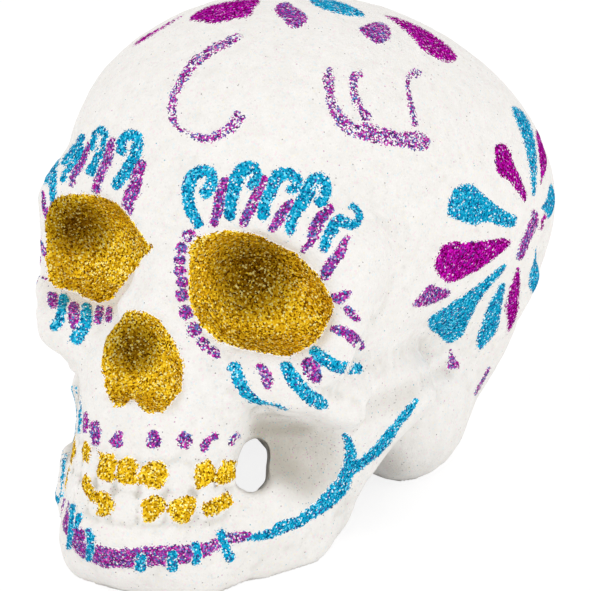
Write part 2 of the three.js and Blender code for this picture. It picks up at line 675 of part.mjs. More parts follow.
function addTempleFlowers() {
  const place = new THREE.Matrix4().makeBasis(
    new THREE.Vector3(0, 1, 0),
    new THREE.Vector3(0, 0, 1),
    new THREE.Vector3(1, 0, 0),
  );
  place.setPosition(half(half(parietal.width)), templeFlower.back, templeFlower.up);
  templePetals.forEach((shape, number) => {
    const outline = petalOutline(shape).map(([x, y]) => new THREE.Vector2(x, y));
    const petalGeometry = new THREE.ExtrudeGeometry(new THREE.Shape(outline), {
      depth: half(parietal.width),
      bevelEnabled: false,
    });
    for (const side of [1, -1]) {
      const onHead = toTable.clone().multiply(side > 0 ? identity : mirror).multiply(place);
      const solid = layer.intersect(solidFrom(petalGeometry, onHead));
      addPart(`temple_petal_${sideName(side)}_${number + 1}`, solid, shape.colour);
    }
  });
}

// Finds where a line of sight of the traced view meets the head, or passes it most closely, in the
// table's frame.
function sightOf([u, v]) {
  const [turn, lift, roll] = [view.turn, view.lift, view.roll].map(THREE.MathUtils.degToRad);
  const flat = Math.cos(lift);
  const back = new THREE.Vector3(Math.sin(turn) * flat, -Math.cos(turn) * flat, Math.sin(lift));
  const right = new THREE.Vector3(Math.cos(turn), Math.sin(turn), 0).applyAxisAngle(back, roll);
  const aim = new THREE.Vector3(...view.aim);
  const eye = aim.clone().addScaledVector(back, view.distance);
  const sight = aim
    .addScaledVector(right, (u - half(view.width)) * view.pixel)
    .addScaledVector(back.clone().cross(right), (half(view.height) - v) * view.pixel)
    .sub(eye)
    .normalize();
  const toHead = toTable.clone().invert();
  let [best, nearest] = [0, Infinity];
  for (let along = 0; along < 2 * view.distance; ) {
    const point = eye.clone().addScaledVector(sight, along).applyMatrix4(toHead);
    const gap = headDistance(point.toArray());
    if (gap < nearest) [best, nearest] = [along, gap];
    if (gap < grid.probe) break;
    along += gap * view.caution;
  }
  return { eye, sight, best };
}

// A traced outline as a solid that reaches a little before and behind the head's surface.
function tracedSolid(outline, capsOf, side) {
  const flat = outline.map(([u, v]) => new THREE.Vector2(u, -v));
  if (THREE.ShapeUtils.isClockWise(flat)) flat.reverse();
  const caps = capsOf(flat);
  const sights = flat.map(({ x, y }) => sightOf([x, -y]));
  const points = [-coat.reach, coat.reach].flatMap((past) =>
    sights.map(({ eye, sight, best }) => eye.clone().addScaledVector(sight, best + past).toArray()),
  );
  const count = flat.length;
  const triangles = caps.flatMap(([a, b, c]) => [a, b, c, count + a, count + c, count + b]);
  for (let n = 0; n < count; n++) {
    const next = (n + 1) % count;
    triangles.push(n, count + n, count + next, n, count + next, next);
  }
  return solidOf({ points, triangles }, side > 0 ? identity : mirror);
}

// Triangles across an outline: along a stroke from one side to the other, or over a petal.
const strokeCaps = ({ length }) =>
  Array.from({ length: half(length) - 1 }, (_, n) => n).flatMap((n) => [
    [n, n + 1, length - 2 - n],
    [n, length - 2 - n, length - 1 - n],
  ]);
const petalCaps = (flat) => THREE.ShapeUtils.triangulateShape(flat, []);

// The outline of a stroke that follows a route and changes its width evenly.
function strokeOutline(route, [first, last]) {
  const path = new THREE.CatmullRomCurve3(route.map(([u, v]) => new THREE.Vector3(u, v, 0)));
  const steps = Math.max(stroke.leastSteps, Math.ceil(path.getLength() / stroke.step));
  const sides = [1, -1].map((side) =>
    Array.from({ length: steps + 1 }, (_, step) => {
      const share = step / steps;
      const [at, along] = [path.getPointAt(share), path.getTangentAt(share)];
      const reach = half(first + (last - first) * share) * side;
      return [at.x - along.y * reach, at.y + along.x * reach];
    }),
  );
  return [...sides[0], ...sides[1].reverse()];
}

function addTraced() {
  for (const [name, { colour, route, widths, paired }] of Object.entries(traced))
    for (const side of paired ? [1, -1] : [1]) {
      const solid = layer.intersect(tracedSolid(strokeOutline(route, widths), strokeCaps, side));
      addPart(paired ? `${name}_${sideName(side)}` : name, solid, colour);
    }
  for (const [name, { colour, outline }] of Object.entries(crownPetals))
    addPart(name, layer.intersect(tracedSolid(outline, petalCaps, 1)), colour);
}

addShells();
addGold();
addTempleFlowers();
addTraced();

// The part's origin is on the table, under the middle of the skull.
const middle = new THREE.Box3().setFromObject(skull).getCenter(new THREE.Vector3());
skull.position.set(-middle.x, -middle.y, 0);

export default skull;
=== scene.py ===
import json
import math
import random

import bmesh
import bpy
from mathutils import Matrix, Vector, noise
from mathutils.bvhtree import BVHTree
from mathutils.kdtree import KDTree

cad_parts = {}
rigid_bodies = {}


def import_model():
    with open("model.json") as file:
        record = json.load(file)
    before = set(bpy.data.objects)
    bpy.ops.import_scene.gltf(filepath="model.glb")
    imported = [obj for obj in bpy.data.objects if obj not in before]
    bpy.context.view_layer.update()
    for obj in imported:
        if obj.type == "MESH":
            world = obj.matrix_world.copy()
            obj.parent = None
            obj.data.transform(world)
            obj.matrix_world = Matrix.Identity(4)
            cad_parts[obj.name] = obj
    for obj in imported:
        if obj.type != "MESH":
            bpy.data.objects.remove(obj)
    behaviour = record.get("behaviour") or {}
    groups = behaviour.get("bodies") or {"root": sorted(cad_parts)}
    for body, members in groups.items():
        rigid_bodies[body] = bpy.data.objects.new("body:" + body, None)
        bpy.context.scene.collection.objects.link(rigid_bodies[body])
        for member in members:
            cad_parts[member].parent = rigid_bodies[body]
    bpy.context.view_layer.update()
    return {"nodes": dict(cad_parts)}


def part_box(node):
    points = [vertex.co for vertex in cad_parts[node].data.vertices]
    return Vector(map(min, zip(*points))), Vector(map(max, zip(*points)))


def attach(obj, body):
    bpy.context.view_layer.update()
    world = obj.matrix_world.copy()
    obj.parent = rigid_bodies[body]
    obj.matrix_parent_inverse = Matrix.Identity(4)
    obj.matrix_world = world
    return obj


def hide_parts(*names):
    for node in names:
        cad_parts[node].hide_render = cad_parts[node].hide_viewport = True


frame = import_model()
mm = 0.001
nodes = frame["nodes"]
print("frame loaded:", len(nodes), "nodes")


# Camera, at the photograph's viewing angle
view = {
    "turn": 27.1,  # degrees round from the front, towards the skull's left
    "lift": 20.7,
    "roll": -1.3,
    "distance": 1150 * mm,
    "aim": (22.2 * mm, -25.2 * mm, 78.2 * mm),
    "lens": 210.7,
    "sensor": 36.0,
    "wide": 590,  # the picture's size in pixels
    "high": 591,
    "middle": (290, 300),  # a point beside the skull slides towards this, a pixel at a time
    "inwardSteps": 90,
}


def viewAxes():
    turn, lift, roll = (math.radians(view[name]) for name in ("turn", "lift", "roll"))
    level = math.cos(lift)
    back = Vector((math.sin(turn) * level, -math.cos(turn) * level, math.sin(lift)))
    sideways = Vector((math.cos(turn), math.sin(turn), 0))
    upright = back.cross(sideways)
    right = sideways * math.cos(roll) + upright * math.sin(roll)
    up = upright * math.cos(roll) - sideways * math.sin(roll)
    return right, up, back


right, up, back = viewAxes()
eye = Vector(view["aim"]) + back * view["distance"]
cameraData = bpy.data.cameras.new("camera")
cameraData.lens = view["lens"]
cameraData.sensor_width = view["sensor"]
cameraData.sensor_fit = "HORIZONTAL"
cameraObject = bpy.data.objects.new("camera", cameraData)
cameraTurn = Matrix((right, up, back)).transposed().to_4x4()
cameraObject.matrix_world = Matrix.Translation(eye) @ cameraTurn
bpy.context.scene.collection.objects.link(cameraObject)
bpy.context.scene.camera = cameraObject


# Node helpers
def newMaterial(name):
    material = bpy.data.materials.new(name)
    material.use_nodes = True
    tree = material.node_tree
    return material, tree, tree.nodes["Principled BSDF"]


def addNode(tree, kind, inputs=None, **settings):
    node = tree.nodes.new(kind)
    for name, value in settings.items():
        setattr(node, name, value)
    for name, value in (inputs or {}).items():
        if isinstance(value, bpy.types.NodeSocket):
            tree.links.new(value, node.inputs[name])
        else:
            node.inputs[name].default_value = value
    return node


def math2(tree, operation, first, second):
    return addNode(tree, "ShaderNodeMath", {0: first, 1: second}, operation=operation).outputs[0]


def mixColour(tree, share, first, second, blend="MIX"):
    inputs = {0: share, 6: first, 7: second}
    return addNode(tree, "ShaderNodeMix", inputs, data_type="RGBA", blend_type=blend).outputs[2]


def cellsOf(tree, place, scale):  # cells, and the random numbers that each one has
    cells = addNode(tree, "ShaderNodeTexVoronoi", {"Vector": place, "Scale": scale})
    pick = addNode(tree, "ShaderNodeSeparateColor", {0: cells.outputs["Color"]})
    return cells.outputs, pick.outputs


def pointShare(tree, name):
    return addNode(tree, "ShaderNodeAttribute", attribute_name=name).outputs["Fac"]


def steppedRamp(tree, share, steps):
    ramp = addNode(tree, "ShaderNodeValToRGB", {0: share})
    ramp.color_ramp.interpolation = "CONSTANT"
    total = 0.0
    elements = ramp.color_ramp.elements
    for number, (part, colour) in enumerate(steps):
        element = elements[number] if number < 2 else elements.new(total)
        element.position = total
        element.color = (*colour, 1)
        total += part
    return ramp.outputs[0]


# Foam: moulded white beads with a grainy skin and a few strays of glitter caught in it
foam = {
    "white": (0.925, 0.905, 0.877),
    "shade": (0.835, 0.812, 0.775),
    "mottle": 200.0,  # patches per metre
    "mottleFrom": (0.25, 0.75),
    "mottleDetail": 5.0,
    "mottleRough": 0.7,
    "bead": 380.0,
    "beadDeep": 0.40 * mm,
    "beadStrength": 0.5,
    "grain": 1500.0,
    "grainDeep": 0.45 * mm,
    "grainDetail": 2.0,
    "grainStrength": 0.6,
    "speck": 1300.0,
    "speckShare": 0.020,
    "speckSize": 0.32,
    "shadeSpeckShare": 0.50,  # specks more where shade is painted, darkening it further
    "specks": [  # the share of specks of each colour
        (0.5, (0.42, 0.40, 0.38)), (0.2, (0.62, 0.36, 0.52)), (0.15, (0.28, 0.52, 0.58)),
        (0.15, (0.34, 0.31, 0.29))],
    "tint": 1500.0,
    "tintShare": 0.16,
    "tintStrength": 0.22,
    "tints": [
        (0.3, (0.95, 0.55, 0.72)), (0.25, (0.55, 0.82, 0.95)), (0.25, (0.62, 0.60, 0.60)),
        (0.2, (0.95, 0.85, 0.55))],
    "rough": 0.72,
    "specular": 0.3,
    "creaseShadeTone": (0.50, 0.475, 0.405, 1),  # what painted shade leaves of the colour in the sharpest creases and along the listed hollows
}


def foamMaterial():
    material, tree, shader = newMaterial("foam")
    place = addNode(tree, "ShaderNodeTexCoord").outputs["Object"]
    mottle = addNode(tree, "ShaderNodeTexNoise", {
        "Vector": place, "Scale": foam["mottle"], "Detail": foam["mottleDetail"],
        "Roughness": foam["mottleRough"]})
    low, high = foam["mottleFrom"]
    mottle = addNode(tree, "ShaderNodeMapRange",
                     {"Value": mottle.outputs["Fac"], "From Min": low, "From Max": high})
    colour = mixColour(tree, mottle.outputs[0], (*foam["shade"], 1), (*foam["white"], 1))

    _, pick = cellsOf(tree, place, foam["tint"])
    tinted = math2(tree, "LESS_THAN", pick[0], foam["tintShare"])
    tint = steppedRamp(tree, pick[1], foam["tints"])
    colour = mixColour(tree, math2(tree, "MULTIPLY", tinted, foam["tintStrength"]), colour, tint)

    # Painted shade: the colour darkens where the crease attribute is high, in sharp creases and
    # along the listed hollows
    crease = pointShare(tree, "crease")
    creaseShaded = mixColour(tree, 1.0, colour, foam["creaseShadeTone"], "MULTIPLY")
    colour = mixColour(tree, crease, colour, creaseShaded)

    # Specks, more of them where shade is painted, which darkens it further
    cells, pick = cellsOf(tree, place, foam["speck"])
    shadeSpots = math2(tree, "MULTIPLY", crease, foam["shadeSpeckShare"])
    rare = math2(tree, "LESS_THAN", pick[0], math2(tree, "ADD", shadeSpots, foam["speckShare"]))
    small = math2(tree, "LESS_THAN", cells["Distance"], foam["speckSize"])
    speck = steppedRamp(tree, pick[1], foam["specks"])
    colour = mixColour(tree, math2(tree, "MULTIPLY", rare, small), colour, speck)

    bead = addNode(tree, "ShaderNodeTexVoronoi", {"Vector": place, "Scale": foam["bead"]},
                   feature="SMOOTH_F1")
    grain = addNode(tree, "ShaderNodeTexNoise",
                    {"Vector": place, "Scale": foam["grain"], "Detail": foam["grainDetail"]})
    beadBump = addNode(tree, "ShaderNodeBump", {
        "Height": bead.outputs["Distance"], "Strength": foam["beadStrength"],
        "Distance": foam["beadDeep"]}, invert=True)
    grainBump = addNode(tree, "ShaderNodeBump", {
        "Height": grain.outputs["Fac"], "Strength": foam["grainStrength"],
        "Distance": foam["grainDeep"], "Normal": beadBump.outputs["Normal"]})
    tree.links.new(colour, shader.inputs["Base Color"])
    tree.links.new(grainBump.outputs["Normal"], shader.inputs["Normal"])
    shader.inputs["Roughness"].default_value = foam["rough"]
    shader.inputs["Specular IOR Level"].default_value = foam["specular"]
    return material


# Glitter: flakes about half a millimetre across, each with its own colour and tilt
glitter = {
    "flakes": 1950.0,  # per metre
    "sparkle": 0.84,  # flakes picked above this share keep a painted glint: they stay brighter within the painted shade deep in a socket
    "sparkleLit": 0.42,
    "tilt": 0.65,
    "rough": 0.34,
    "metal": {"gold_glitter": 0.5},
    "usualMetal": 0.3,
    "fullness": {"violet_thin": 0.84},  # the share of the places that hold a flake
    "usualFullness": 1.06,
    "socketShadeShare": (0.20, 0.15, 0.12, 1),  # what the painted shade in the deepest part of a socket leaves of the colour
}
glitterFlakes = {  # the share of flakes of each colour
    "gold_glitter": [
        (0.15, (0.20, 0.085, 0.002)), (0.22, (0.48, 0.24, 0.004)), (0.32, (0.78, 0.45, 0.010)),
        (0.20, (0.98, 0.68, 0.035)), (0.11, (1.0, 0.88, 0.30))],
    "cyan_glitter": [
        (0.20, (0.002, 0.10, 0.24)), (0.34, (0.004, 0.28, 0.50)), (0.26, (0.01, 0.46, 0.72)),
        (0.12, (0.14, 0.68, 0.90)), (0.04, (0.10, 0.08, 0.36)), (0.04, (0.80, 0.94, 0.98))],
    "magenta_glitter": [
        (0.30, (0.13, 0.001, 0.08)), (0.36, (0.36, 0.003, 0.26)), (0.20, (0.66, 0.008, 0.52)),
        (0.07, (0.16, 0.04, 0.34)), (0.05, (0.80, 0.20, 0.68)), (0.02, (0.88, 0.70, 0.88))],
    "violet_glitter": [
        (0.24, (0.40, 0.01, 0.28)), (0.22, (0.07, 0.03, 0.14)), (0.18, (0.18, 0.08, 0.40)),
        (0.14, (0.68, 0.08, 0.48)), (0.09, (0.08, 0.24, 0.54)), (0.07, (0.58, 0.42, 0.64)),
        (0.06, (0.86, 0.80, 0.86))],
}
glitterFlakes["violet_thin"] = glitterFlakes["violet_glitter"]  # thin, so that foam shows through


def glitterMaterial(name):
    material, tree, shader = newMaterial(name)
    place = addNode(tree, "ShaderNodeTexCoord").outputs["Object"]
    flakes, pick = cellsOf(tree, place, glitter["flakes"])
    colour = steppedRamp(tree, pick[0], glitterFlakes[name])
    # Painted shade deep in a socket: where the lit attribute is low the colour darkens
    deep = mixColour(tree, 1.0, colour, glitter["socketShadeShare"], "MULTIPLY")
    # Painted glints: some flakes keep more of their brightness in the painted shade
    sparkle = math2(tree, "GREATER_THAN", pick[0], glitter["sparkle"])
    sparkle = math2(tree, "MULTIPLY", sparkle, glitter["sparkleLit"])
    lit = math2(tree, "MAXIMUM", pointShare(tree, "lit"), sparkle)
    colour = mixColour(tree, lit, deep, colour)
    there = math2(tree, "LESS_THAN", pick[1], pointShare(tree, "cover"))  # elsewhere foam is bare
    centred = addNode(tree, "ShaderNodeVectorMath", {0: flakes["Color"], 1: (0.5, 0.5, 0.5)},
                      operation="SUBTRACT")
    reach = math2(tree, "MULTIPLY", there, glitter["tilt"])
    tilted = addNode(tree, "ShaderNodeVectorMath", {0: centred.outputs[0], "Scale": reach},
                     operation="SCALE")
    facing = addNode(tree, "ShaderNodeNewGeometry").outputs["Normal"]
    turned = addNode(tree, "ShaderNodeVectorMath", {0: facing, 1: tilted.outputs[0]},
                     operation="ADD")
    normal = addNode(tree, "ShaderNodeVectorMath", {0: turned.outputs[0]},
                     operation="NORMALIZE")
    rough = addNode(tree, "ShaderNodeMapRange",
                    {"Value": there, "To Min": foam["rough"], "To Max": glitter["rough"]})
    colourThere = mixColour(tree, there, (*foam["white"], 1), colour)
    tree.links.new(colourThere, shader.inputs["Base Color"])
    tree.links.new(normal.outputs[0], shader.inputs["Normal"])
    tree.links.new(rough.outputs[0], shader.inputs["Roughness"])
    metal = glitter["metal"].get(name, glitter["usualMetal"])
    tree.links.new(math2(tree, "MULTIPLY", there, metal), shader.inputs["Metallic"])
    tree.links.new(colour, shader.inputs["Specular Tint"])
    shader.inputs["Specular IOR Level"].default_value = 0.0
    return material


foamFinish = foamMaterial()
finishes = {name: glitterMaterial(name) for name in glitterFlakes}
print("finishes made")


# Pieces
def newPiece(name, bm, finish, slot, replaced=()):
    mesh = bpy.data.meshes.new(name)
    bm.to_mesh(mesh)
    bm.free()
    mesh.materials.append(finish)
    piece = bpy.data.objects.new(name, mesh)
    bpy.context.scene.collection.objects.link(piece)
    for face in mesh.polygons:
        face.use_smooth = True
    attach(piece, "root")
    if replaced:
        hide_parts(*replaced)


def slotOf(finish):
    return finish.replace("_thin", "_glitter")


# The head frame: face level, middle of the vault's underside at the ears, in millimetres
head = {"tilt": math.radians(26), "drop": 52.5, "shift": 2.653}


def toTable(x, y, z):
    cos, sin = math.cos(head["tilt"]), math.sin(head["tilt"])
    across, high = y * cos + z * sin + head["shift"], z * cos - y * sin + head["drop"]
    return Vector((x, across, high)) * mm


def toHead(point):
    cos, sin = math.cos(head["tilt"]), math.sin(head["tilt"])
    y, z = point.y / mm - head["shift"], point.z / mm - head["drop"]
    return point.x / mm, y * cos - z * sin, y * sin + z * cos


# Foam skull: both half shells' copies merged, remeshed, worn smooth, pushed and given lumps
skin = {
    "voxel": 1.0 * mm,
    "smoothings": 120,
    "teethShare": 0.008,  # how far the smoothing reaches each region
    "faceShare": 0.13,
    "sideShare": 0.16,
    "footShare": 0.25,
    "footBelow": 4 * mm,
    "vaultOver": (8, 14),  # in the head frame, in millimetres: where a region starts, and its fade
    "vaultBehind": (40, 14),
    "faceUnder": (34, 14),
    "faceBefore": (-44, 12),
    "teethLevel": -64,
    "teethHigh": (17, 5),
    "teethBefore": (-40, 8),
    "teethWide": (34, 5),
    "footHigh": 0.6 * mm,
    "lumps": [(15 * mm, 0.40 * mm), (5 * mm, 0.18 * mm), (2.2 * mm, 0.08 * mm)],  # spacing, height
    "pushes": [  # in the head frame, in millimetres: from, to, push, radius, sides
        ((42, -64, -40), (49, -50, -42), (-7.5, 5, 0), 14, (1, -1)),
        ((50.6, -69, -25), (57, -46, -27), (1.8, -0.5, -1), 7, (1, -1)),
        ((59.5, -38, -22), (63, -22, -15), (-3, 0, 0), 9, (1, -1)),
        ((63, -12, -10), (61, 17, -3), (-1.8, 0, 0), 6, (1, -1)),
        ((37, -74, -30), (36, -70, -34), (-3, 2.5, 2), 9, (1, -1)),
        ((33, -65, -34), (42, -61, -32), (-2, 1.7, -0.6), 6, (1, -1)),
        ((34, -69, -29), (43, -66, -27), (1, -1.5, -0.5), 5, (1, -1)),
        ((40.5, -73, -26), (45, -57, -31), (-5, 0, 1), 10, (-1,)),
        ((50, -54, -29), (57, -44, -24), (-8, 0, 3), 10, (-1,)),
        ((61, -36, -22), (62, -26, -18), (-4, 0, 3), 8, (-1,)),
        ((48.5, -77.5, -7), (48, -78, -8), (2, -0.5, -0.5), 6, (-1,)),
        ((50.5, -26, -59), (50, -22, -66), (-3.2, -0.5, 1), 11, (1, -1)),
        ((44, -36, -73), (36.5, -49, -79), (1, 0, -2), 9, (1, -1)),
        ((79, 36, 48), (78, 39, 43), (-1.8, 0, 0), 13, (1, -1)),
        ((74, 41, 32), (71, 45, 26), (2, 0, 0), 12, (1, -1)),
        ((50, -74, -3), (42, -82, -17), (2.5, -0.5, 0), 9, (-1,)),
        ((57, -76, 28), (52, -72, -1), (1.6, 0, 0), 9, (-1,)),
        ((9, -91, 7), (10, -91, -1), (5, 0, 0), 9, (-1,)),
    ],
    "shadeSpots": [  # painted shade along hollows of the skull: from, to, radius, strength
        ((31, -61, -36), (41, -54, -35), 10, 0.9),
        ((34, -56, -42), (45, -50, -43), 18, 0.85),
        ((45, -50, -42), (53, -40, -46), 14, 0.45),
        ((60, -36, -22), (63, -20, -15), 8, 0.35),
        ((63, -14, -11), (61, 17, -3), 4, 0.2),
        ((48, 10, -37), (48, 14, -40), 7, 0.3),
    ],
    "creaseSmoothings": 12,
    "creaseDeep": 0.45 * mm,
}


def past(value, limit):
    start, fade = limit
    return max(0, (value - start) / fade)


def smoothShare(point):
    x, y, z = toHead(point)
    if point.z < skin["footBelow"]:
        return skin["footShare"]
    onVault = min(1, past(z, skin["vaultOver"]) + past(y, skin["vaultBehind"]))
    offFace = min(1, past(z, skin["faceUnder"]) + past(y, skin["faceBefore"]))
    offTeeth = min(1, past(abs(z - skin["teethLevel"]), skin["teethHigh"])
                   + past(y, skin["teethBefore"]) + past(abs(x), skin["teethWide"]))
    share = skin["sideShare"] + (1 - skin["sideShare"]) * onVault
    share = skin["faceShare"] + (share - skin["faceShare"]) * offFace
    return skin["teethShare"] + (share - skin["teethShare"]) * offTeeth


def modified(bm, kind, shareOf=None, **settings):
    mesh = bpy.data.meshes.new("scratch")
    bm.to_mesh(mesh)
    bm.free()
    scratch = bpy.data.objects.new("scratch", mesh)
    bpy.context.scene.collection.objects.link(scratch)
    modifier = scratch.modifiers.new("scratch", kind)
    for name, value in settings.items():
        setattr(modifier, name, value)
    if shareOf:
        group = scratch.vertex_groups.new(name="share")
        for vert in mesh.vertices:
            group.add([vert.index], shareOf(vert.co), "REPLACE")
        modifier.vertex_group = "share"
    depsgraph = bpy.context.evaluated_depsgraph_get()
    done = bpy.data.meshes.new_from_object(scratch.evaluated_get(depsgraph))
    bm = bmesh.new()
    bm.from_mesh(done)
    bpy.data.meshes.remove(done)
    bpy.data.objects.remove(scratch)
    return bm


def keepLarge(bm, least=None):  # the largest island, and others with at least that many points
    left, islands = set(bm.verts), []
    while left:
        island, edge = set(), [left.pop()]
        while edge:
            vert = edge.pop()
            island.add(vert)
            for link in vert.link_edges:
                other = link.other_vert(vert)
                if other in left:
                    left.discard(other)
                    edge.append(other)
        islands.append(island)
    islands.sort(key=len)
    for island in islands[:-1]:
        if least is None or len(island) < least:
            bmesh.ops.delete(bm, geom=list(island), context="VERTS")
    return len(islands)


def brushed(bm, start, end, radius, side):  # points near a line, and each one's share of the touch
    start, end = (toTable(side * place[0], *place[1:]) for place in (start, end))
    along = end - start
    found = []
    for vert in bm.verts:
        share = min(1, max(0, (vert.co - start).dot(along) / along.length_squared))
        share = 1 - ((vert.co - start - along * share).length / (radius * mm)) ** 2
        if share > 0:
            found.append((vert, share * share))
    return found


# Painted shade: the crease attribute grows where the skin lies below its smoothed self, and along
# the listed hollows
def markCreases(bm):
    worn = modified(bm.copy(), "SMOOTH", factor=0.5, iterations=skin["creaseSmoothings"])
    bm.normal_update()
    worn.verts.ensure_lookup_table()
    crease = bm.verts.layers.float.new("crease")
    for number, vert in enumerate(bm.verts):
        deep = (worn.verts[number].co - vert.co).dot(vert.normal)
        vert[crease] = min(1, max(0, deep / skin["creaseDeep"]))
    worn.free()
    for start, end, radius, strength in skin["shadeSpots"]:
        for side in (1, -1):
            for vert, share in brushed(bm, start, end, radius, side):
                vert[crease] = max(vert[crease], strength * share)


def foamSkin():
    bm = bmesh.new()
    for name in ("skull_left_shell", "skull_right_shell"):
        bm.from_mesh(nodes[name].data)
    bmesh.ops.remove_doubles(bm, verts=bm.verts, dist=0.001 * mm)
    bm = modified(bm, "REMESH", mode="VOXEL", voxel_size=skin["voxel"])
    print("skin remeshed:", len(bm.verts), "points in", keepLarge(bm), "islands")
    bm = modified(bm, "SMOOTH", smoothShare, factor=0.5, iterations=skin["smoothings"])
    for start, end, push, radius, sides in skin["pushes"]:
        for side in sides:
            move = toTable(side * push[0], *push[1:]) - toTable(0, 0, 0)
            for vert, share in brushed(bm, start, end, radius, side):
                vert.co += move * share
    bm.normal_update()
    moves = []
    for vert in bm.verts:
        lift = sum(high * noise.noise(vert.co / wide) for wide, high in skin["lumps"])
        moves.append(vert.normal * lift)
    for vert, move in zip(bm.verts, moves):
        if vert.co.z < skin["footHigh"]:
            vert.co.z = 0
        else:
            vert.co += move
            vert.co.z = max(vert.co.z, 0)
    markCreases(bm)
    return bm


skinMesh = foamSkin()
skinTree = BVHTree.FromBMesh(skinMesh)
print("skin smoothed:", len(skinMesh.faces), "faces")


def foamHalf(name, side, replaced):
    bm = skinMesh.copy()
    cut = bmesh.ops.bisect_plane(bm, geom=bm.verts[:] + bm.edges[:] + bm.faces[:],
                                 dist=0.001 * mm, plane_co=(0, 0, 0), plane_no=(-side, 0, 0),
                                 clear_outer=True)
    rim = [part for part in cut["geom_cut"] if isinstance(part, bmesh.types.BMEdge)]
    bmesh.ops.triangle_fill(bm, use_beauty=True, edges=rim, normal=(-side, 0, 0))
    for edge in rim:
        edge.smooth = False
    print(name, "open edges:", sum(edge.is_boundary for edge in bm.edges))
    newPiece(name, bm, foamFinish, "foam", replaced)


foamHalf("skull_foam_left", 1, ["skull_left_shell"])
foamHalf("skull_foam_right", -1, ["skull_right_shell"])
print("foam halves made")


# Where a stencil's point lands on the foam
def seatFromPhoto(u, v):
    scale = view["sensor"] / view["lens"] / view["wide"]
    place = Vector((u, v))
    inward = (Vector(view["middle"]) - place).normalized()
    for _ in range(view["inwardSteps"]):
        aside = right * (place.x - view["wide"] / 2) + up * (view["high"] / 2 - place.y)
        sight = aside * scale - back
        point, normal, _, _ = skinTree.ray_cast(eye, sight.normalized())
        if point is not None:
            break
        place += inward
    return point, normal


sideCast = {"from": 150, "near": 60}  # millimetres out: a ray's start, and where a miss looks


def seatFromSide(y, z):
    start = toTable(sideCast["from"], y, z)
    point, normal, _, _ = skinTree.ray_cast(start, Vector((-1, 0, 0)))
    if point is None:
        point, normal, _, _ = skinTree.find_nearest(toTable(sideCast["near"], y, z))
    return point, normal


def mirroredSeat(seat):
    def mirrored(u, v):
        point, _ = seat(u, v)
        found, normal, _, _ = skinTree.find_nearest(Vector((-point.x, point.y, point.z)))
        return found, normal
    return mirrored


# Glitter coats
coat = {
    "high": 0.26 * mm,
    "edgeHigh": 0.05 * mm,
    "sunk": 0.35 * mm,
    "shoulder": 3.0,  # pixels from the edge to full height
    "fringe": 1.9,  # pixels from the edge to where no foam shows between the flakes
    "grow": 0.9,  # pixels that the fringe adds outside a traced outline
    "bumps": 0.16 * mm,
    "bumpWide": 1.3 * mm,
    "patchWide": 3.2 * mm,
    "patchPeak": 2.0,
    "petalPatchy": 0.06,  # how much foam shows in the patches
    "strokePatchy": 0.16,
    "edgeCover": 0.06,
    "tear": 6.5 * mm,  # a longer edge would bridge two surfaces
    "islandPoints": 24,
    "pixel": 0.333 * mm,
    "curveShare": 0.6,  # of a petal's step, for the step along its outline
    "snap": 0.01,
    "strokeStep": 1.6,
    "leastAcross": 3,
    "endShare": 0.04,  # how blunt a stroke's ends are
    "petalWave": 2.2,  # pixels from one bay of the ragged edge to the next
    "strokeWave": 2.6,
    "sideApart": 7,  # keeps a stroke's two edges from waving alike
    "seedStep": 1.7,
}


def paint(bm, coverOf, litOf=lambda vert: 1.0):
    cover = bm.verts.layers.float.new("cover")
    lit = bm.verts.layers.float.new("lit")
    for vert in bm.verts:
        vert[cover] = coverOf(vert)
        vert[lit] = litOf(vert)


def curveThrough(points, step, closed):
    count = len(points)
    ends = points if closed else [points[0], *points, points[-1]]
    spans = count if closed else count - 1
    line = []
    for number in range(spans):
        if closed:
            a, b, c, d = (Vector(ends[(number + k) % count]) for k in (-1, 0, 1, 2))
        else:
            a, b, c, d = (Vector(ends[number + k]) for k in range(4))
        pieces = max(1, round((c - b).length / step))
        for part in range(pieces):
            t = part / pieces
            line.append(0.5 * (2 * b + (c - a) * t + (2 * a - 5 * b + 4 * c - d) * t * t
                               + (3 * b - a - 3 * c + d) * t ** 3))
    if not closed:
        line.append(Vector(points[-1]))
    return line


def ragged(line, amount, seed, grow):
    turning = sum(a.cross(b) for a, b in zip(line, line[1:] + line[:1]))
    grow = grow if turning < 0 else -grow
    wide = coat["petalWave"]
    rough = []
    for number, point in enumerate(line):
        along = (line[(number + 1) % len(line)] - line[number - 1]).normalized()
        aside = Vector((-along.y, along.x))
        wave = noise.noise(Vector((point.x / wide, point.y / wide, seed)))
        rough.append(point + aside * (wave * amount + grow))
    return rough


def petalStencil(outline, step, roughness, seed, grow):
    bm = bmesh.new()
    line = curveThrough(outline, step * coat["curveShare"], True)
    line = ragged(line, roughness, seed, grow)
    bm.faces.new([bm.verts.new((point.x, point.y, 0)) for point in line])
    for axis in (0, 1):
        low, high = min(p[axis] for p in line), max(p[axis] for p in line)
        normal = (1, 0, 0) if axis == 0 else (0, 1, 0)
        for number in range(1, math.ceil((high - low) / step)):
            middle = [0, 0, 0]
            middle[axis] = low + number * step
            bmesh.ops.bisect_plane(bm, geom=bm.verts[:] + bm.edges[:] + bm.faces[:],
                                   dist=coat["snap"], plane_co=middle, plane_no=normal)
    return bm


def eachWidth(widths, route):
    return widths if isinstance(widths, list) else [widths] * len(route)


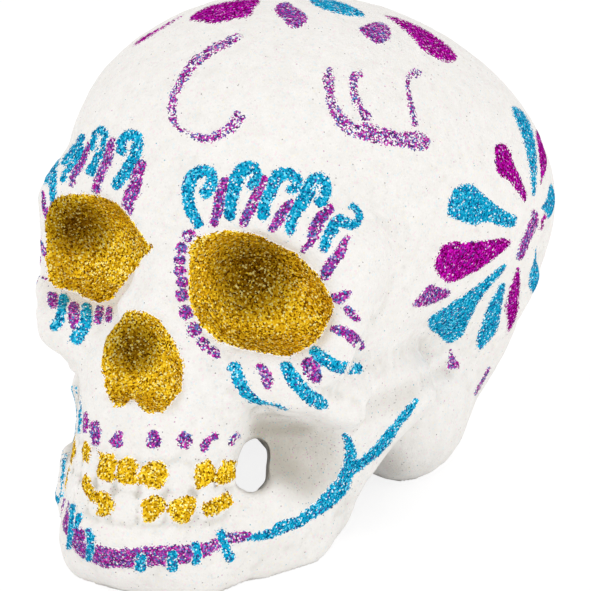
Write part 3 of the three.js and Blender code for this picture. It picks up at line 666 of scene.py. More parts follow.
def strokeStencil(route, widths, roughness, seed):
    step = coat["strokeStep"]
    path = curveThrough(route, step, False)
    marks = [0.0]
    for a, b in zip(path, path[1:]):
        marks.append(marks[-1] + (b - a).length)
    knots = []
    for point in route:
        nearest = min(range(len(path)), key=lambda k: (path[k] - Vector(point)).length)
        knots.append(marks[nearest])
    widths = eachWidth(widths, route)
    across = max(coat["leastAcross"], round(max(widths) / step))
    bm = bmesh.new()
    bmesh.ops.create_grid(bm, x_segments=len(path) - 1, y_segments=across, size=1)
    for vert in bm.verts:
        number = round((vert.co.x + 1) / 2 * (len(path) - 1))
        side = vert.co.y
        ahead, behind = path[min(number + 1, len(path) - 1)], path[max(number - 1, 0)]
        along = (ahead - behind).normalized()
        aside = Vector((-along.y, along.x))
        mark = marks[number]
        span = next((k for k in range(1, len(knots)) if mark <= knots[k]), len(knots) - 1)
        share = (mark - knots[span - 1]) / max(knots[span] - knots[span - 1], 1e-6)
        wide = widths[span - 1] + (widths[span] - widths[span - 1]) * min(1, max(0, share))
        toEnd = min(mark, marks[-1] - mark)
        rounding = math.sqrt(max(coat["endShare"], 1 - max(0, 1 - toEnd / (wide * 0.5)) ** 2))
        wave = noise.noise(Vector((mark / coat["strokeWave"], seed, coat["sideApart"] * side)))
        wide = (wide + 2 * coat["grow"]) * rounding + wave * roughness * 2 * abs(side)
        spot = path[number] + aside * side * wide / 2
        vert.co = (spot.x, spot.y, 0)
    return bm


def layCoat(bm, seat, finish, patchy, unit, lift):
    seats = {(vert.co.x, vert.co.y): seat(vert.co.x, vert.co.y) for vert in bm.verts}

    def reach(edge):
        first, second = (seats[vert.co.x, vert.co.y][0] for vert in edge.verts)
        return (first - second).length

    torn = [edge for edge in bm.edges if reach(edge) > coat["tear"]]
    bmesh.ops.delete(bm, geom=torn, context="EDGES")
    loose = [vert for vert in bm.verts if not vert.link_faces]
    bmesh.ops.delete(bm, geom=loose, context="VERTS")
    keepLarge(bm, coat["islandPoints"])
    edges = [vert.co.copy() for vert in bm.verts if vert.is_boundary]
    near = KDTree(len(edges))
    for number, place in enumerate(edges):
        near.insert(place, number)
    near.balance()
    raised = bmesh.ops.extrude_face_region(bm, geom=bm.faces[:])
    tops = [part for part in raised["geom"] if isinstance(part, bmesh.types.BMVert)]
    bmesh.ops.translate(bm, verts=tops, vec=(0, 0, 1))
    full = glitter["fullness"].get(finish, glitter["usualFullness"])
    rise = coat["high"] - coat["edgeHigh"]
    covers = []
    for vert in bm.verts:
        u, v, layer = vert.co
        point, normal = seats[u, v]
        toEdge = near.find((u, v, 0))[2] * unit
        bare = max(0, noise.noise(point / coat["patchWide"]) * coat["patchPeak"]) * patchy
        covers.append(full * min(1, coat["edgeCover"] + toEdge / coat["fringe"]) - bare)
        if layer < 0.5:
            vert.co = point - normal * coat["sunk"]
            continue
        inside = min(1, toEdge / coat["shoulder"])
        dome = inside * inside * (3 - 2 * inside)
        bump = coat["bumps"] * noise.noise(point / coat["bumpWide"]) * dome
        vert.co = point + normal * (coat["edgeHigh"] + rise * dome + bump + lift)
    bm.verts.index_update()
    paint(bm, lambda vert: covers[vert.index])
    bmesh.ops.recalc_face_normals(bm, faces=bm.faces)
    return [Vector((place.x, place.y)) for place in edges]


strays = {
    "perEdge": 0.16,  # loose flakes for each point of an outline
    "spread": 2.4,  # pixels
    "size": (0.13 * mm, 0.24 * mm),
    "thick": 0.10 * mm,
    "tilt": 0.5,
    "corners": 5,
    "topShare": 0.8,
    "seed": 11,
}
looseFlakes = {}
flakeDice = random.Random(strays["seed"])


def scatterFlakes(edges, seat, finish, share):
    for place in edges:
        if flakeDice.random() > strays["perEdge"] * share:
            continue
        u, v = (value + flakeDice.gauss(0, strays["spread"]) for value in place)
        point, normal = seat(u, v)
        looseFlakes.setdefault(finish, []).append((point, normal))


def looseFlakePiece(finish):
    bm = bmesh.new()
    for point, normal in looseFlakes.get(finish, []):
        tilt = Vector([flakeDice.uniform(-1, 1) for _ in range(3)]) * strays["tilt"]
        turn = (normal + tilt).to_track_quat("Z", "Y").to_matrix().to_4x4()
        radius = flakeDice.uniform(*strays["size"])
        bmesh.ops.create_cone(bm, cap_ends=True, segments=strays["corners"], radius1=radius,
                              radius2=radius * strays["topShare"], depth=strays["thick"],
                              matrix=Matrix.Translation(point) @ turn)
    paint(bm, lambda vert: 1.0)
    print("loose flakes", finish, len(looseFlakes.get(finish, [])))
    newPiece("loose_flakes_" + finish, bm, finishes[finish], slotOf(finish))


def nextSeed():
    return len(bpy.data.objects) * coat["seedStep"]


def coatPiece(name, bm, finish, replaced, seat, loose, patchy, unit=1.0, lift=0.0):
    edges = layCoat(bm, seat, finish, patchy, unit, lift)
    scatterFlakes(edges, seat, finish, loose)
    newPiece(name, bm, finishes[finish], slotOf(finish), replaced)


def addPetal(name, finish, outline, replaced=(), seat=seatFromPhoto, step=2.0, roughness=0.7,
             loose=0.5, unit=1.0):
    bm = petalStencil(outline, step, roughness, nextSeed(), coat["grow"] / unit)
    coatPiece(name, bm, finish, replaced, seat, loose, coat["petalPatchy"], unit)


def addStroke(name, finish, route, widths, replaced=(), seat=seatFromPhoto, roughness=1.8,
              loose=0.8, lift=0.0):
    bm = strokeStencil(route, widths, roughness, nextSeed())
    coatPiece(name, bm, finish, replaced, seat, loose, coat["strokePatchy"], lift=lift)


# Gold in the eye sockets, in the nose and on the teeth: the foam's own skin, a little raised.
# Where the picture shows a coat, its outline is the picture's; elsewhere it is the part's.
goldCoat = {
    "high": 0.42 * mm,
    "edgeHigh": 0.06 * mm,
    "shoulder": 1.2 * mm,
    "fringe": 0.9 * mm,
    "edgeCover": 0.1,
    "reach": 7.0 * mm,
    "marginShare": 0.7,  # of the reach, round the node's box
    "firstTrim": 1.6 * mm,  # what lies further out goes, before the mesh is made finer
    "trim": 0.45 * mm,  # and after
    "rimSmoothings": 3,
    "ragged": 0.5 * mm,
    "raggedWide": 1.6 * mm,
    "bumps": 0.2 * mm,
    "bumpWide": 1.1 * mm,
    "seenWithin": 0.8 * mm,
    "paintedHoleShade": {  # painted shade deep in a hole, in the head frame: middle and radius, in millimetres
        "eye_gold_left": ((24, -74, 14), 17),
        "eye_gold_right": ((-42, -77, 20), 14),
        "nose_gold": ((-5, -91, -16), 11),
    },
    "grow": {"tooth": 0.3 * mm, "eye": 0.0, "nose": 0.0},
    "nasalGrow": 3.5 * mm,  # the right eye's inner wall bulges more on the foam than on the part
    "nasalWithin": 27 * mm,
}
goldOutlines = {
    "eye_gold_left": [
        (188, 245), (196, 236), (226, 229), (256, 234), (294, 252), (317, 271), (334, 301),
        (335, 308), (328, 324), (317, 343), (290, 358), (264, 354), (241, 349), (219, 343),
        (200, 328), (188, 301), (188, 264)],
    "eye_gold_right": [
        (47, 206), (52, 199), (62, 195), (76, 192), (90, 194), (104, 197), (116, 202), (126, 212),
        (134, 222), (142, 234), (151, 244), (155, 248), (148, 254), (142, 260), (134, 272),
        (126, 282), (118, 291), (115, 298), (108, 301), (98, 303), (88, 300), (80, 296), (74, 292),
        (64, 290), (52, 287), (47, 280), (45, 260), (45, 240), (45, 220)],
    "nose_gold": [
        (120, 312), (132, 309), (145, 310), (161, 320), (175, 340), (185, 365), (182, 390),
        (165, 412), (150, 416), (138, 408), (132, 399), (126, 408), (113, 407), (104, 390),
        (101, 365), (106, 335)],
    "tooth_gold_upper_right_2": [
        (85.9, 439.1), (90.5, 445.9), (90.5, 455.1), (88.2, 463.6), (83.6, 461.3), (82.8, 452.1),
        (84.4, 444.4)],
    "tooth_gold_upper_right_1": [
        (98.1, 452.1), (106.6, 452.1), (114.2, 455.1), (118.1, 461.3), (115.8, 467.4),
        (115.8, 476.6), (112.7, 482.7), (106.6, 481.2), (100.4, 479.6), (96.6, 473.5),
        (98.9, 465.8), (99.7, 458.2)],
    "tooth_gold_upper_left_1": [
        (118.8, 459.7), (128, 456.7), (135.7, 459), (138.7, 465.8), (137.2, 473.5), (140.3, 482.7),
        (134.1, 485), (124.9, 485), (118.1, 481.2), (115.8, 475), (117.3, 467.4)],
    "tooth_gold_upper_left_2": [
        (144.1, 465.8), (151, 461.3), (161.7, 460.5), (167.1, 465.8), (168.6, 476.6),
        (164.8, 484.2), (158.6, 490.4), (149.4, 488.8), (144.1, 484.2), (137.2, 484.2),
        (137.2, 473.5), (141.8, 469.7)],
    "tooth_gold_upper_left_4": [
        (195.4, 464.3), (201.5, 461.3), (209.2, 459), (213, 464.3), (216.1, 470.4), (215.3, 479.6),
        (207.6, 485.8), (196.9, 490.4), (193.9, 485.8), (194.6, 479.6), (193.1, 476.6),
        (195.4, 470.4)],
    "tooth_gold_upper_left_5": [
        (216.1, 472), (221.4, 467.4), (222.2, 459), (235.2, 460.5), (237.5, 467.4), (235.2, 476.6),
        (229.1, 483.5), (216.8, 485.8), (214.5, 481.2)],
    "tooth_gold_lower_right_2": [
        (85.9, 472.7), (90.5, 478.1), (92.8, 485.8), (97.4, 493.4), (95.8, 499.5), (91.3, 502.6),
        (86.7, 494.9), (82.8, 488.1), (82.1, 481.2)],
    "tooth_gold_lower_right_1": [
        (95.8, 493.4), (102, 490.4), (109.6, 494.9), (114.2, 500.3), (115, 507.2), (109.6, 514.9),
        (102, 517.9), (96.6, 514.1), (97.4, 505.7), (93.6, 502.6)],
    "tooth_gold_lower_left_2": [
        (141.8, 502.6), (146.4, 498), (155.6, 493.4), (161.7, 496.5), (166.3, 502.6),
        (164.8, 510.3), (158.6, 517.9), (151, 523.3), (143.3, 521), (142.6, 513.3), (141, 507.2)],
    "tooth_gold_lower_left_3": [
        (168.6, 502.6), (175.5, 498), (186.2, 494.9), (193.9, 498), (196.9, 505.7), (192.3, 513.3),
        (189.3, 521), (180.1, 524), (172.4, 521), (168.6, 513.3), (167.1, 507.2)],
    "tooth_gold_lower_left_4": [
        (200, 507.2), (204.6, 502.6), (213.8, 498), (223, 493.4), (229.1, 491.9), (232.9, 498),
        (232.1, 505.7), (224.5, 510.3), (213.8, 514.9), (206.1, 517.2), (201.5, 513.3)],
}


def photoPlace(point):
    away = point - eye
    scale = view["lens"] / view["sensor"] * view["wide"] / -away.dot(back)
    return Vector((view["wide"] / 2 + away.dot(right) * scale,
                   view["high"] / 2 - away.dot(up) * scale))


def isSeen(point):
    found = skinTree.ray_cast(eye, (point - eye).normalized())[0]
    return found is not None and (found - point).length < goldCoat["seenWithin"]


def outlineGap(outline, place):
    inside, nearest = False, math.inf
    for a, b in zip(outline, outline[1:] + outline[:1]):
        along = b - a
        share = min(1, max(0, (place - a).dot(along) / along.length_squared))
        nearest = min(nearest, (place - a - along * share).length)
        if (a.y > place.y) != (b.y > place.y):
            if place.x < a.x + along.x * (place.y - a.y) / along.y:
                inside = not inside
    return -nearest if inside else nearest


def coatOverSkin(name, node, finish):
    under = bmesh.new()
    under.from_mesh(nodes[node].data)
    coatTree = BVHTree.FromBMesh(under)
    under.free()
    outline = [Vector(place) for place in goldOutlines.get(node, [])]
    grow = goldCoat["grow"][node.split("_")[0]]
    nasal = goldCoat["nasalGrow"] if node == "eye_gold_right" else 0.0
    rise = goldCoat["high"] - goldCoat["edgeHigh"]
    low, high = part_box(node)
    margin = Vector((goldCoat["reach"] * goldCoat["marginShare"],) * 3)
    low, high = low - margin, high + margin
    bm = skinMesh.copy()
    bm.normal_update()

    def outside(vert):
        point = vert.co
        if any(point[k] < low[k] or point[k] > high[k] for k in range(3)):
            return math.inf
        found = coatTree.find_nearest(point, goldCoat["reach"])
        if found[0] is None:
            return math.inf
        uneven = goldCoat["ragged"] * noise.noise(point / goldCoat["raggedWide"])
        if outline and isSeen(point):
            return outlineGap(outline, photoPlace(point)) * coat["pixel"] - uneven - grow
        gap = found[0] - point
        bulged = nasal if abs(point.x) < goldCoat["nasalWithin"] else 0.0
        return (gap - vert.normal * gap.dot(vert.normal)).length - uneven - bulged

    far = [vert for vert in bm.verts if outside(vert) > goldCoat["firstTrim"]]
    bmesh.ops.delete(bm, geom=far, context="VERTS")
    bmesh.ops.subdivide_edges(bm, edges=bm.edges[:], cuts=1, use_grid_fill=True)
    bm.normal_update()
    far = [vert for vert in bm.verts if outside(vert) > goldCoat["trim"]]
    bmesh.ops.delete(bm, geom=far, context="VERTS")
    loose = [vert for vert in bm.verts if not vert.link_faces]
    bmesh.ops.delete(bm, geom=loose, context="VERTS")
    keepLarge(bm)
    rim = [vert for vert in bm.verts if vert.is_boundary]
    for _ in range(goldCoat["rimSmoothings"]):
        bmesh.ops.smooth_vert(bm, verts=rim, factor=0.5, use_axis_x=True, use_axis_y=True,
                              use_axis_z=True)
    bm.normal_update()
    near = KDTree(len(rim))
    for number, vert in enumerate(rim):
        near.insert(vert.co, number)
    near.balance()
    bm.verts.index_update()
    normals = [vert.normal.copy() for vert in bm.verts]
    toRim = [near.find(vert.co)[2] for vert in bm.verts]
    number = bm.verts.layers.int.new("number")
    for vert in bm.verts:
        vert[number] = vert.index
    raised = bmesh.ops.extrude_face_region(bm, geom=bm.faces[:])
    tops = {part for part in raised["geom"] if isinstance(part, bmesh.types.BMVert)}
    for vert in bm.verts:
        normal = normals[vert[number]]
        if vert in tops:
            inside = min(1, toRim[vert[number]] / goldCoat["shoulder"])
            bump = goldCoat["bumps"] * noise.noise(vert.co / goldCoat["bumpWide"])
            vert.co += normal * (goldCoat["edgeHigh"] + (rise + bump) * inside)
        else:
            vert.co -= normal * coat["sunk"]

    # Painted shade: lit falls to nothing at the middle of a hole's shaded ball
    def litOf(vert):
        if node not in goldCoat["paintedHoleShade"]:
            return 1.0
        middle, radius = goldCoat["paintedHoleShade"][node]
        return min(1, ((vert.co - toTable(*middle)).length / (radius * mm)) ** 2)

    paint(bm, lambda vert: goldCoat["edgeCover"] + toRim[vert[number]] / goldCoat["fringe"], litOf)
    bmesh.ops.recalc_face_normals(bm, faces=bm.faces)
    print(name, len(bm.faces), "faces")
    newPiece(name, bm, finishes[finish], finish, [node])


for node in sorted(nodes):
    if "gold" in node:
        coatOverSkin(node + "_coat", node, "gold_glitter")
print("gold coats made")

# Petals of the temple flower, traced in the picture where it shows them well
templePetals = {
    1: ("cyan_glitter", [
        (447.4, 212.2), (448.9, 199.3), (453.9, 190), (464.1, 184.4), (473.3, 185.4),
        (480.7, 191.9), (493.7, 203), (508.5, 213.1), (516.9, 216.9), (513.1, 226.7),
        (501.1, 226.1), (486.3, 222.4), (473.3, 225.2), (460.4, 220.6), (451.1, 217.8)]),
    2: ("magenta_glitter", [
        (495.6, 145.6), (503, 143.7), (509.4, 151.1), (513.1, 162.2), (519.6, 177), (526.7, 195.6),
        (524.3, 202), (519.6, 195.6), (510.4, 182.6), (499.3, 175.2), (495.9, 167.8),
        (494.6, 154.8)]),
    3: ("cyan_glitter", [
        (511.3, 106.3), (519.6, 109.4), (526.1, 116.9), (531.7, 128.9), (535.4, 145.6),
        (536.7, 164.1), (536.3, 178.9), (535, 193.7), (532.6, 194.6), (530.4, 177), (527.4, 158.5),
        (523.3, 141.9), (517.8, 125.2), (513.1, 114.1)]),
    7: ("magenta_glitter", [
        (516.9, 267.8), (519.6, 268.7), (519.6, 284.4), (518.7, 299.3), (517.8, 312.2),
        (512.2, 325.2), (505.7, 334.4), (507.6, 323.3), (504.8, 308.5), (507.6, 295.6),
        (512.2, 280.7)]),
    8: ("cyan_glitter", [
        (502, 282.6), (505.2, 286.3), (501.1, 308.5), (497.4, 328.9), (486.3, 343.7),
        (479.8, 349.6), (476.1, 342.8), (480.7, 325.2), (488.1, 304.8), (495.6, 291.9)]),
    9: ("cyan_glitter", [
        (428, 319.6), (436.3, 312.2), (451.1, 303), (467.8, 291.9), (482.6, 280.7), (495.6, 269.6),
        (504.8, 263.1), (505.7, 267.8), (493.7, 282.6), (482.6, 295.6), (475.2, 308.5),
        (467.8, 323.3), (461.3, 336.3), (447.4, 342.8), (438.1, 334.4), (429.8, 328.9)]),
    10: ("magenta_glitter", [
        (434.4, 265.9), (436.3, 256.7), (445.6, 242.8), (464.1, 241.9), (482.6, 240.9),
        (495.6, 239.1), (503, 238.1), (511.3, 240.9), (508.5, 246.5), (493.7, 258.5),
        (478.9, 269.6), (464.1, 277), (451.1, 282.6), (443.7, 280.7), (437.2, 273.3)]),
    11: ("violet_glitter", [
        (412.2, 305.7), (419.6, 295.6), (429.8, 284.4), (438.1, 287.2), (450.2, 290),
        (447.4, 296.5), (434.4, 303), (423.3, 306.7)]),
    12: ("violet_glitter", [
        (532.6, 209.4), (538.1, 214.1), (537.2, 225.2), (531.7, 238.1), (523.3, 256.7),
        (518.7, 260.4), (515.9, 256.7), (518.7, 245.6), (526.1, 228.9), (530.7, 217.8)]),
}
# The petals that the picture shows edge on, on the side of the head: turn, from, to, width
sidePetals = {
    4: ("magenta_glitter", 127, 14, 39, 10),
    5: ("cyan_glitter", 163, 11, 34, 12),
    6: ("cyan_glitter", 214, 17, 43, 8),
}
flower = {"back": 9, "up": 53, "fullness": 1.4, "steps": 8}


def petalShape(turn, start, end, width):
    angle = math.radians(turn)
    edge = []
    steps = flower["steps"]
    for number in range(steps + 1):
        share = number / steps
        bulge = math.sin(math.pi * share ** flower["fullness"])
        edge.append((start + (end - start) * share, width / 2 * bulge))
    ring = edge + [(r, -w) for r, w in reversed(edge[1:-1])]
    return [(flower["back"] - r * math.cos(angle) - w * math.sin(angle),
             flower["up"] + r * math.sin(angle) - w * math.cos(angle)) for r, w in ring]


for side, around in (("left", lambda seat: seat), ("right", mirroredSeat)):
    for number, (finish, outline) in templePetals.items():
        name = f"temple_petal_{side}_{number}"
        addPetal(name + "_coat", finish, outline, [name], around(seatFromPhoto), step=2.4,
                 roughness=0.5, loose=0.25)
    for number, (finish, *shape) in sidePetals.items():
        name = f"temple_petal_{side}_{number}"
        addPetal(name + "_coat", finish, petalShape(*shape), [name], around(seatFromSide),
                 step=1.0, roughness=0.25, loose=0.1, unit=3.0)
print("temple flowers made")

crownPetals = {
    "crown_petal_front": ("magenta_glitter", [
        (189.2, 20.1), (200.4, 10), (220.4, 3.3), (240.5, 0.4), (259.5, 0), (253.9, 8.9),
        (249.5, 16.7), (236.1, 19), (216, 23.4), (200.4, 21.9)]),
    "crown_petal_middle": ("cyan_glitter", [
        (309.7, 0), (316.4, 6.3), (332.1, 12.3), (349.9, 16.1), (364.4, 16.7), (358.8, 10),
        (343.2, 3.3), (329.8, 0)]),
    "crown_petal_left": ("magenta_glitter", [
        (383.4, 15.2), (399, 19), (416.9, 25.7), (432.5, 34.6), (443.7, 42.4), (452.6, 50.2),
        (456.6, 58), (450.4, 62.5), (437, 59.2), (421.3, 49.1), (410.2, 35.7), (394.6, 22.3)]),
    "crown_dot_right": ("violet_glitter", [
        (275.1, 11.2), (277.4, 4.5), (287.4, 2.7), (296.3, 7.8), (305.3, 14.5), (307.5, 21.2),
        (298.6, 27.9), (291.9, 27.9), (284.1, 21.2)]),
    "crown_dot_left": ("violet_glitter", [
        (358.8, 29), (365.5, 25), (378.9, 22.3), (389, 26.8), (390.1, 37.9), (378.9, 44.6),
        (372.2, 41.3), (363.3, 34.6)]),
}
for name, (finish, outline) in crownPetals.items():
    addPetal(name + "_coat", finish, outline, [name], step=2.4, roughness=0.6, loose=0.3)
addPetal("crown_petal_edge", "magenta_glitter", [
    (132.3, 46.4), (142.3, 37.9), (157.9, 29), (173.6, 20.1), (183.6, 15.6), (171.3, 23.4),
    (153.5, 34.6), (141.2, 42.4)], roughness=0.3, loose=0.2)
addPetal("temple_mark", "violet_glitter", [
    (450.2, 349.3), (453.9, 356.7), (459.4, 366.9), (447.4, 368.7), (448.9, 358.5)], roughness=0.5)
addStroke("rear_mark", "violet_glitter", [(490, 366), (482, 381), (474, 396)], 3,
          roughness=0.7, loose=0.2)
addStroke("temple_sliver", "magenta_glitter", [(545, 213), (543, 222), (540, 231)], [3, 4, 2],
          roughness=0.7, loose=0.2)
print("crown flower made")

swirls = {
    "swirl_left": ([
        (241.7, 34.6), (229.4, 41.3), (216, 48), (204.8, 54.7), (193.7, 63.6), (184.7, 75.9),
        (176.9, 89.3), (172.5, 102.7), (172.5, 116.1), (178, 127.2), (189.2, 133.9), (195.9, 137.3),
        (209.3, 138.4), (220.4, 133.9), (231.6, 127.2), (238.3, 118.3), (235, 110.5)],
        [6, 9, 9, 10, 11, 10, 9, 8, 8, 5, 3, 7, 9, 10, 12, 13, 7]),
    "swirl_right": ([
        (329.8, 67), (328.7, 78.1), (329.8, 93.8), (333.2, 107.1), (341, 120.5), (352.1, 129.5),
        (365.5, 131.7), (383.4, 136.2), (399, 139.5), (414.6, 140.6), (430.3, 144)],
        [4, 12, 9, 11, 13, 13, 18, 16, 14, 18, 17]),
    "swirl_right_inner": ([
        (363.3, 73.7), (354.4, 77), (353.3, 89.3), (356.6, 100.4), (362.2, 111.6), (370, 120.5)],
        [6, 9, 8, 8, 8, 14]),
    "swirl_right_prong": ([
        (420.2, 78.1), (414.6, 72.5), (408, 78.1), (408, 89.3), (410.2, 102.7), (412.4, 113.8),
        (415.8, 127.2)], [9, 8, 5, 4, 6, 6, 6]),
}
for name, (route, widths) in swirls.items():
    addStroke(name + "_coat", "violet_thin", route, widths, [name])
print("swirls made")

jaw = {
    "jaw_band": ("violet_glitter", [
        (66, 498), (65.5, 512), (69, 524), (74.4, 531.7), (80.5, 542.4), (91.3, 551),
        (106.6, 557.5), (129.5, 557.7), (152.5, 556.2), (175.5, 554.7), (190.8, 553), (203, 550),
        (213.8, 545.5), (229.1, 538.8), (244.4, 536.3), (253.6, 534.8)],
        [5, 9, 14, 18, 20, 20, 20, 20, 20, 19, 17, 15, 13, 12, 9, 7]),
    "jaw_line_left": ("cyan_glitter", [
        (243.4, 536), (256.8, 536.7), (270.2, 533.3), (283.5, 526.6), (296.9, 522.6),
        (310.3, 513.2), (323.7, 503.9), (334.4, 493.2), (342.5, 483.8), (346.5, 473.1),
        (358.5, 465), (370.6, 455.7), (381.3, 445), (389.3, 434.3), (397.3, 423.5), (406.7, 412.8),
        (417.4, 398.1)], [7, 8, 10, 13, 11, 12, 15, 17, 16, 13, 10, 10, 11, 12, 8, 8, 4]),
    "jaw_line_branch_left": ("cyan_glitter", [
        (347.1, 470.4), (349.5, 460), (350.5, 453), (347.8, 441), (343.1, 432.9)],
        [12, 12, 12, 8, 6]),
}
for name, (finish, route, widths) in jaw.items():
    addStroke(name + "_coat", finish, route, widths, [name])
for name in ("jaw_line", "jaw_line_branch"):
    finish, route, widths = jaw[name + "_left"]
    addStroke(name + "_right_coat", finish, route, widths, [name + "_right"],
              mirroredSeat(seatFromPhoto))

stitchLift = 0.14 * mm  # the stitches cross over the band
jawStitches = [
    ([(73.6, 502.6), (72.1, 522.5), (69, 550)], 6), ([(81.3, 511.8), (78, 521), (76, 530)], 6),
    ([(89, 527.1), (91.3, 542.4), (88.2, 562.3)], 8),
    ([(143.3, 551.6), (140.3, 562.3), (141.8, 572.3)], 12),
    ([(172.4, 548.5), (172.4, 560.8), (173.2, 572.3)], 11),
    ([(193.9, 540.9), (196.9, 553.1), (194.6, 566.2)], 9),
    ([(219.9, 528.6), (223, 540.9), (227.5, 553.1), (232.1, 562.3)], 10),
    ([(76, 386), (79, 396), (80.5, 408), (80.5, 424), (79, 434)], 3),
    ([(66, 453), (64.5, 464), (64, 476), (63, 487), (62, 498)], 4),
]
for number, (route, width) in enumerate(jawStitches):
    addStroke(f"jaw_stitch_{number + 1}", "cyan_glitter", route, width, loose=0.7,
              lift=stitchLift)
print("jaw made")

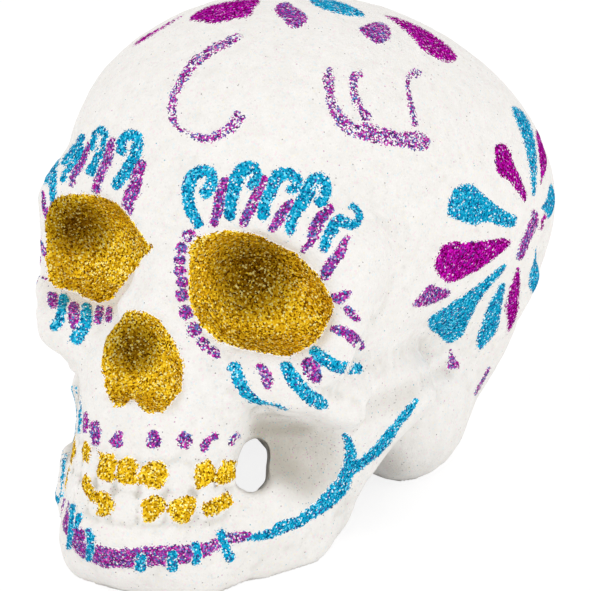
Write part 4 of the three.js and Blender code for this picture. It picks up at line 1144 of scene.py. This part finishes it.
# Lashes, dots and dashes round the eyes and over the lip
lashes = {
    "near_cyan": ("cyan_glitter", [
        ([(201.4, 228.6), (192.2, 213.3), (188.5, 198), (190, 182.7), (196.5, 173.9), (207.6, 172),
          (211.5, 180.6), (207.6, 190.8), (199, 195.3)], [6, 9, 10, 11, 10, 10, 10, 9, 7]),
        ([(231, 221.4), (230, 205.1), (234.1, 188), (239, 176), (248, 168), (255, 174), (254, 183),
          (245, 183)], [9, 10, 12, 14, 13, 12, 11, 9]),
        ([(262.7, 221.4), (264.7, 205.1), (270.8, 190.8), (276.9, 177.5), (287.1, 173.5),
          (296, 179), (294.5, 188), (285.1, 190)], [8, 10, 11, 11, 10, 9, 9, 7]),
        ([(291.2, 235.7), (290.2, 223.5), (297.3, 209.2), (305.5, 196.9), (311.6, 184),
          (320.8, 179), (325, 188.8), (322.5, 200), (314, 204)], [6, 8, 11, 12, 12, 11, 11, 11, 9]),
        ([(323, 253), (325.9, 240.6), (331.8, 230.3), (338.4, 221.5), (345.7, 223), (353, 225.2),
          (358.9, 217.9), (356, 208.3), (347.9, 206.1)], [7, 8, 9, 11, 9, 6, 5, 4, 3]),
        ([(230, 362.2), (236.7, 372), (240.7, 383.4), (247.4, 394.1), (256.8, 400.2), (269, 404.6),
          (280, 407), (289, 409.5)], [8, 11, 11, 8, 5, 2, 1, 0]),
        ([(283.1, 361.2), (288, 371), (295.9, 382.1), (304.7, 392.3), (316.4, 401.1), (328.1, 407)],
          [8, 10, 12, 11, 12, 6]),
        ([(310.5, 346.9), (319.3, 355.7), (328.1, 361.6), (338.4, 367.4), (348.7, 368),
          (363.3, 368.9)], [6, 11, 10, 9, 10, 7])]),
    "near_violet": ("violet_glitter", [
        ([(226.9, 176.5), (221.8, 190.8), (218.8, 207.1), (212.7, 227.6)], [7, 10, 10, 7]),
        ([(266.7, 175.5), (258.6, 190.8), (250.4, 209.2), (241.2, 227.6)], [6, 9, 10, 7]),
        ([(293.3, 199), (284.1, 211.2), (276.9, 221.4), (269.8, 232.7)], [6, 9, 10, 6]),
        ([(332.5, 203.9), (326.7, 212), (319.3, 220.8), (314.9, 231.1), (311.3, 241.3), (307, 246),
          (301, 253)], [7, 9, 11, 12, 8, 4, 4]),
        ([(350.1, 235.5), (344.3, 242.8), (339.9, 253), (332.5, 261.8), (326.7, 272.1),
          (323, 280.9)], [3, 6, 9, 11, 10, 6]),
        ([(329.6, 295.6), (338.4, 298), (345.7, 293.6), (353, 291.2)], [5, 10, 8, 5]),
        ([(344.3, 305.8), (350.1, 311.7), (356, 318), (361.8, 319)], [6, 8, 5, 4]),
        ([(329.6, 328.6), (341.3, 330.8), (351.6, 336.6), (358.9, 344), (364.8, 348.4)],
          [5, 10, 10, 10, 7]), ([(305.5, 357), (312, 370.4), (319.8, 383)], [11, 18, 8]),
        ([(256.5, 363.3), (263, 370), (267, 378), (267.2, 389.8)], [4, 8, 11, 6])]),
    "near_dots": ("violet_glitter", [
        ([(182, 238), (196, 233)], 10), ([(175, 250), (188, 246)], 10),
        ([(173, 260.5), (187, 259.5)], 9), ([(173, 271.5), (187, 270.5)], 9),
        ([(175, 282.5), (189, 281)], 9), ([(175, 297), (189, 293)], 12),
        ([(179, 316), (193, 309)], 13), ([(188, 334), (201, 326)], 14),
        ([(198, 348), (208, 339)], 14), ([(210, 357), (218, 348)], 14)]),
    "far_cyan": ("cyan_glitter", [
        ([(114.6, 190), (119, 182), (125.3, 173), (130.6, 162.3), (135.1, 153.4), (137.7, 144.5),
          (138, 138.3), (131.4, 135.3), (124.5, 138.3), (121, 145.4), (123, 151.5), (129, 152)],
          [7, 9, 10, 10, 10, 9, 9, 9, 9, 9, 9, 6]),
        ([(89.1, 176.6), (93.1, 167.7), (97.2, 158.8), (101.6, 149.8), (103.6, 140), (104, 133),
          (100.7, 130.5), (96.7, 134.8), (94.5, 142.8), (94.3, 152.5)],
          [9, 8, 7, 7, 6, 7, 7, 6, 6, 6]),
        ([(83.3, 132.9), (80.6, 141.8), (75.3, 150.7), (68.1, 158.8), (61.9, 165.9)],
          [2, 6, 9, 7, 3]),
        ([(82.4, 144.5), (78.9, 156.1), (73.5, 164.1), (67.3, 170.4), (63.7, 177.5), (64.6, 183.8)],
          [4, 5, 5, 4, 4, 3]),
        ([(59.7, 157.9), (54.8, 166.8), (50.3, 175.7), (49.9, 185.5)], [2, 3, 3, 2]),
        ([(64.7, 292.9), (61.6, 311.2), (56.5, 325.6), (49.4, 326.5)], [8, 7, 8, 6]),
        ([(86.1, 302), (85.1, 323.5), (72.9, 343.9)], [7, 10, 13])]),
    "far_violet": ("violet_glitter", [
        ([(142.3, 158.8), (140.5, 165), (136.9, 175.7), (135.1, 186.4), (130.6, 195.4),
          (128, 205.2), (130.6, 215.9)], [6, 10, 11, 11, 13, 10, 6]),
        ([(114.6, 137.3), (111, 144.5), (109.2, 155.2), (105.6, 165), (100.3, 175.7), (96.7, 186.4),
          (97.6, 194.5)], [3, 7, 8, 8, 8, 8, 6]),
        ([(90.5, 141.8), (86.9, 150.7), (83.3, 159.6), (78, 168.6), (73.5, 177.5), (72.2, 188.2)],
          [3, 5, 6, 8, 6, 4]), ([(51.4, 290.8), (53, 300), (54.5, 310.2)], [8, 10, 7]),
        ([(72.9, 301), (73.9, 313.3), (73.9, 329.6)], [8, 11, 5]),
        ([(101.4, 305.1), (99, 315), (97.3, 325.5)], [7, 8, 6]),
        ([(108.6, 305.1), (109, 314), (108.6, 323.5)], [5, 6, 5])]),
    "lip_violet": ("violet_glitter", [
        ([(85.4, 410.7), (86, 422), (85.4, 433.7)], [3, 6, 3]),
        ([(94.5, 419.9), (95.5, 433), (96.8, 446.7)], [8, 11, 7]),
        ([(120.4, 429.5), (117, 440), (114.5, 448)], [4, 11, 17]),
        ([(154, 429.5), (153.5, 440), (156, 449)], [6, 15, 17]),
        ([(185, 430.5), (184.5, 440), (183, 450)], [8, 15, 12]),
        ([(202.5, 452.8), (205.4, 444.4), (211, 437.8), (219.9, 434.5)], [7, 7, 6, 7])]),
    "lip_faint": ("violet_thin", [([(229.1, 445.9), (233.7, 438.3), (239.8, 432.9)], 5)]),
}
fatter = {  # pixels more than the widths above
    "near_cyan": 3.0, "near_violet": 1.5, "near_dots": 2.0, "far_cyan": 2.5, "far_violet": 1.5,
    "lip_violet": 1.0, "lip_faint": 2.0}
sideLashesFrom = 305  # pixels: lashes beside the left eye, which the right eye has mirrored
for name, (finish, strokes) in lashes.items():
    for number, (route, widths) in enumerate(strokes):
        widths = [width + fatter[name] for width in eachWidth(widths, route)]
        addStroke(f"{name}_{number + 1}", finish, route, widths)
        if min(u for u, _ in route) > sideLashesFrom:
            addStroke(f"{name}_{number + 1}_far", finish, route, widths,
                      seat=mirroredSeat(seatFromPhoto))
print("lashes and dots made")

for finish in ("cyan_glitter", "violet_glitter", "violet_thin", "magenta_glitter"):
    looseFlakePiece(finish)


# Studio: pale floor, white surround, soft light
studio = {
    "floorWide": 6.0,
    "floor": (0.97, 0.97, 0.965, 1),
    "floorSeen": (0.18, 0.18, 0.18, 1),  # as the camera sees it, with the glow
    "floorGlow": 0.85,
    "floorRough": 0.9,
    "world": 0.864,
    "aim": (0, 0, 0.08),
    "lamps": [  # place, watts, size
        ((-0.35, -0.8, 0.9), 2.5, 1.2),
        ((0.85, -0.45, 0.55), 0.35, 0.9),
        ((0.1, 0.7, 0.9), 0.6, 0.9),
        ((1.0, -0.1, 0.07), 1.9, 0.6),
        ((-0.4, -1.0, 0.12), 0.45, 0.8),
    ],
}


def addFloor():
    bm = bmesh.new()
    bmesh.ops.create_grid(bm, x_segments=1, y_segments=1, size=studio["floorWide"] / 2)
    mesh = bpy.data.meshes.new("floor")
    bm.to_mesh(mesh)
    bm.free()
    floor = bpy.data.objects.new("floor", mesh)
    bpy.context.scene.collection.objects.link(floor)
    material, tree, shader = newMaterial("floor")
    shader.inputs["Roughness"].default_value = studio["floorRough"]
    seen = addNode(tree, "ShaderNodeLightPath").outputs["Is Camera Ray"]
    colour = mixColour(tree, seen, studio["floor"], studio["floorSeen"])
    glow = math2(tree, "MULTIPLY", seen, studio["floorGlow"])
    tree.links.new(colour, shader.inputs["Base Color"])
    shader.inputs["Emission Color"].default_value = (1, 1, 1, 1)
    tree.links.new(glow, shader.inputs["Emission Strength"])
    mesh.materials.append(material)


def addWorld():
    world = bpy.data.worlds.new("studio")
    bpy.context.scene.world = world
    world.use_nodes = True
    tree = world.node_tree
    backgroundNode = tree.nodes["Background"]
    backgroundNode.inputs["Color"].default_value = (1, 1, 1, 1)
    path = addNode(tree, "ShaderNodeLightPath").outputs
    seen = math2(tree, "MAXIMUM", path["Is Camera Ray"], path["Is Transmission Ray"])
    strength = addNode(tree, "ShaderNodeMapRange",
                       {"Value": seen, "To Min": studio["world"], "To Max": 1.0})
    tree.links.new(strength.outputs[0], backgroundNode.inputs["Strength"])


def addLamps():
    for number, (place, watts, size) in enumerate(studio["lamps"]):
        lampData = bpy.data.lights.new(f"lamp_{number + 1}", "AREA")
        lampData.energy = watts
        lampData.size = size
        lamp = bpy.data.objects.new(lampData.name, lampData)
        lamp.location = place
        aim = Vector(studio["aim"]) - Vector(place)
        lamp.rotation_euler = aim.to_track_quat("-Z", "Y").to_euler()
        bpy.context.scene.collection.objects.link(lamp)


addFloor()
addWorld()
addLamps()
bpy.context.scene.view_settings.view_transform = "Standard"
print("studio made")
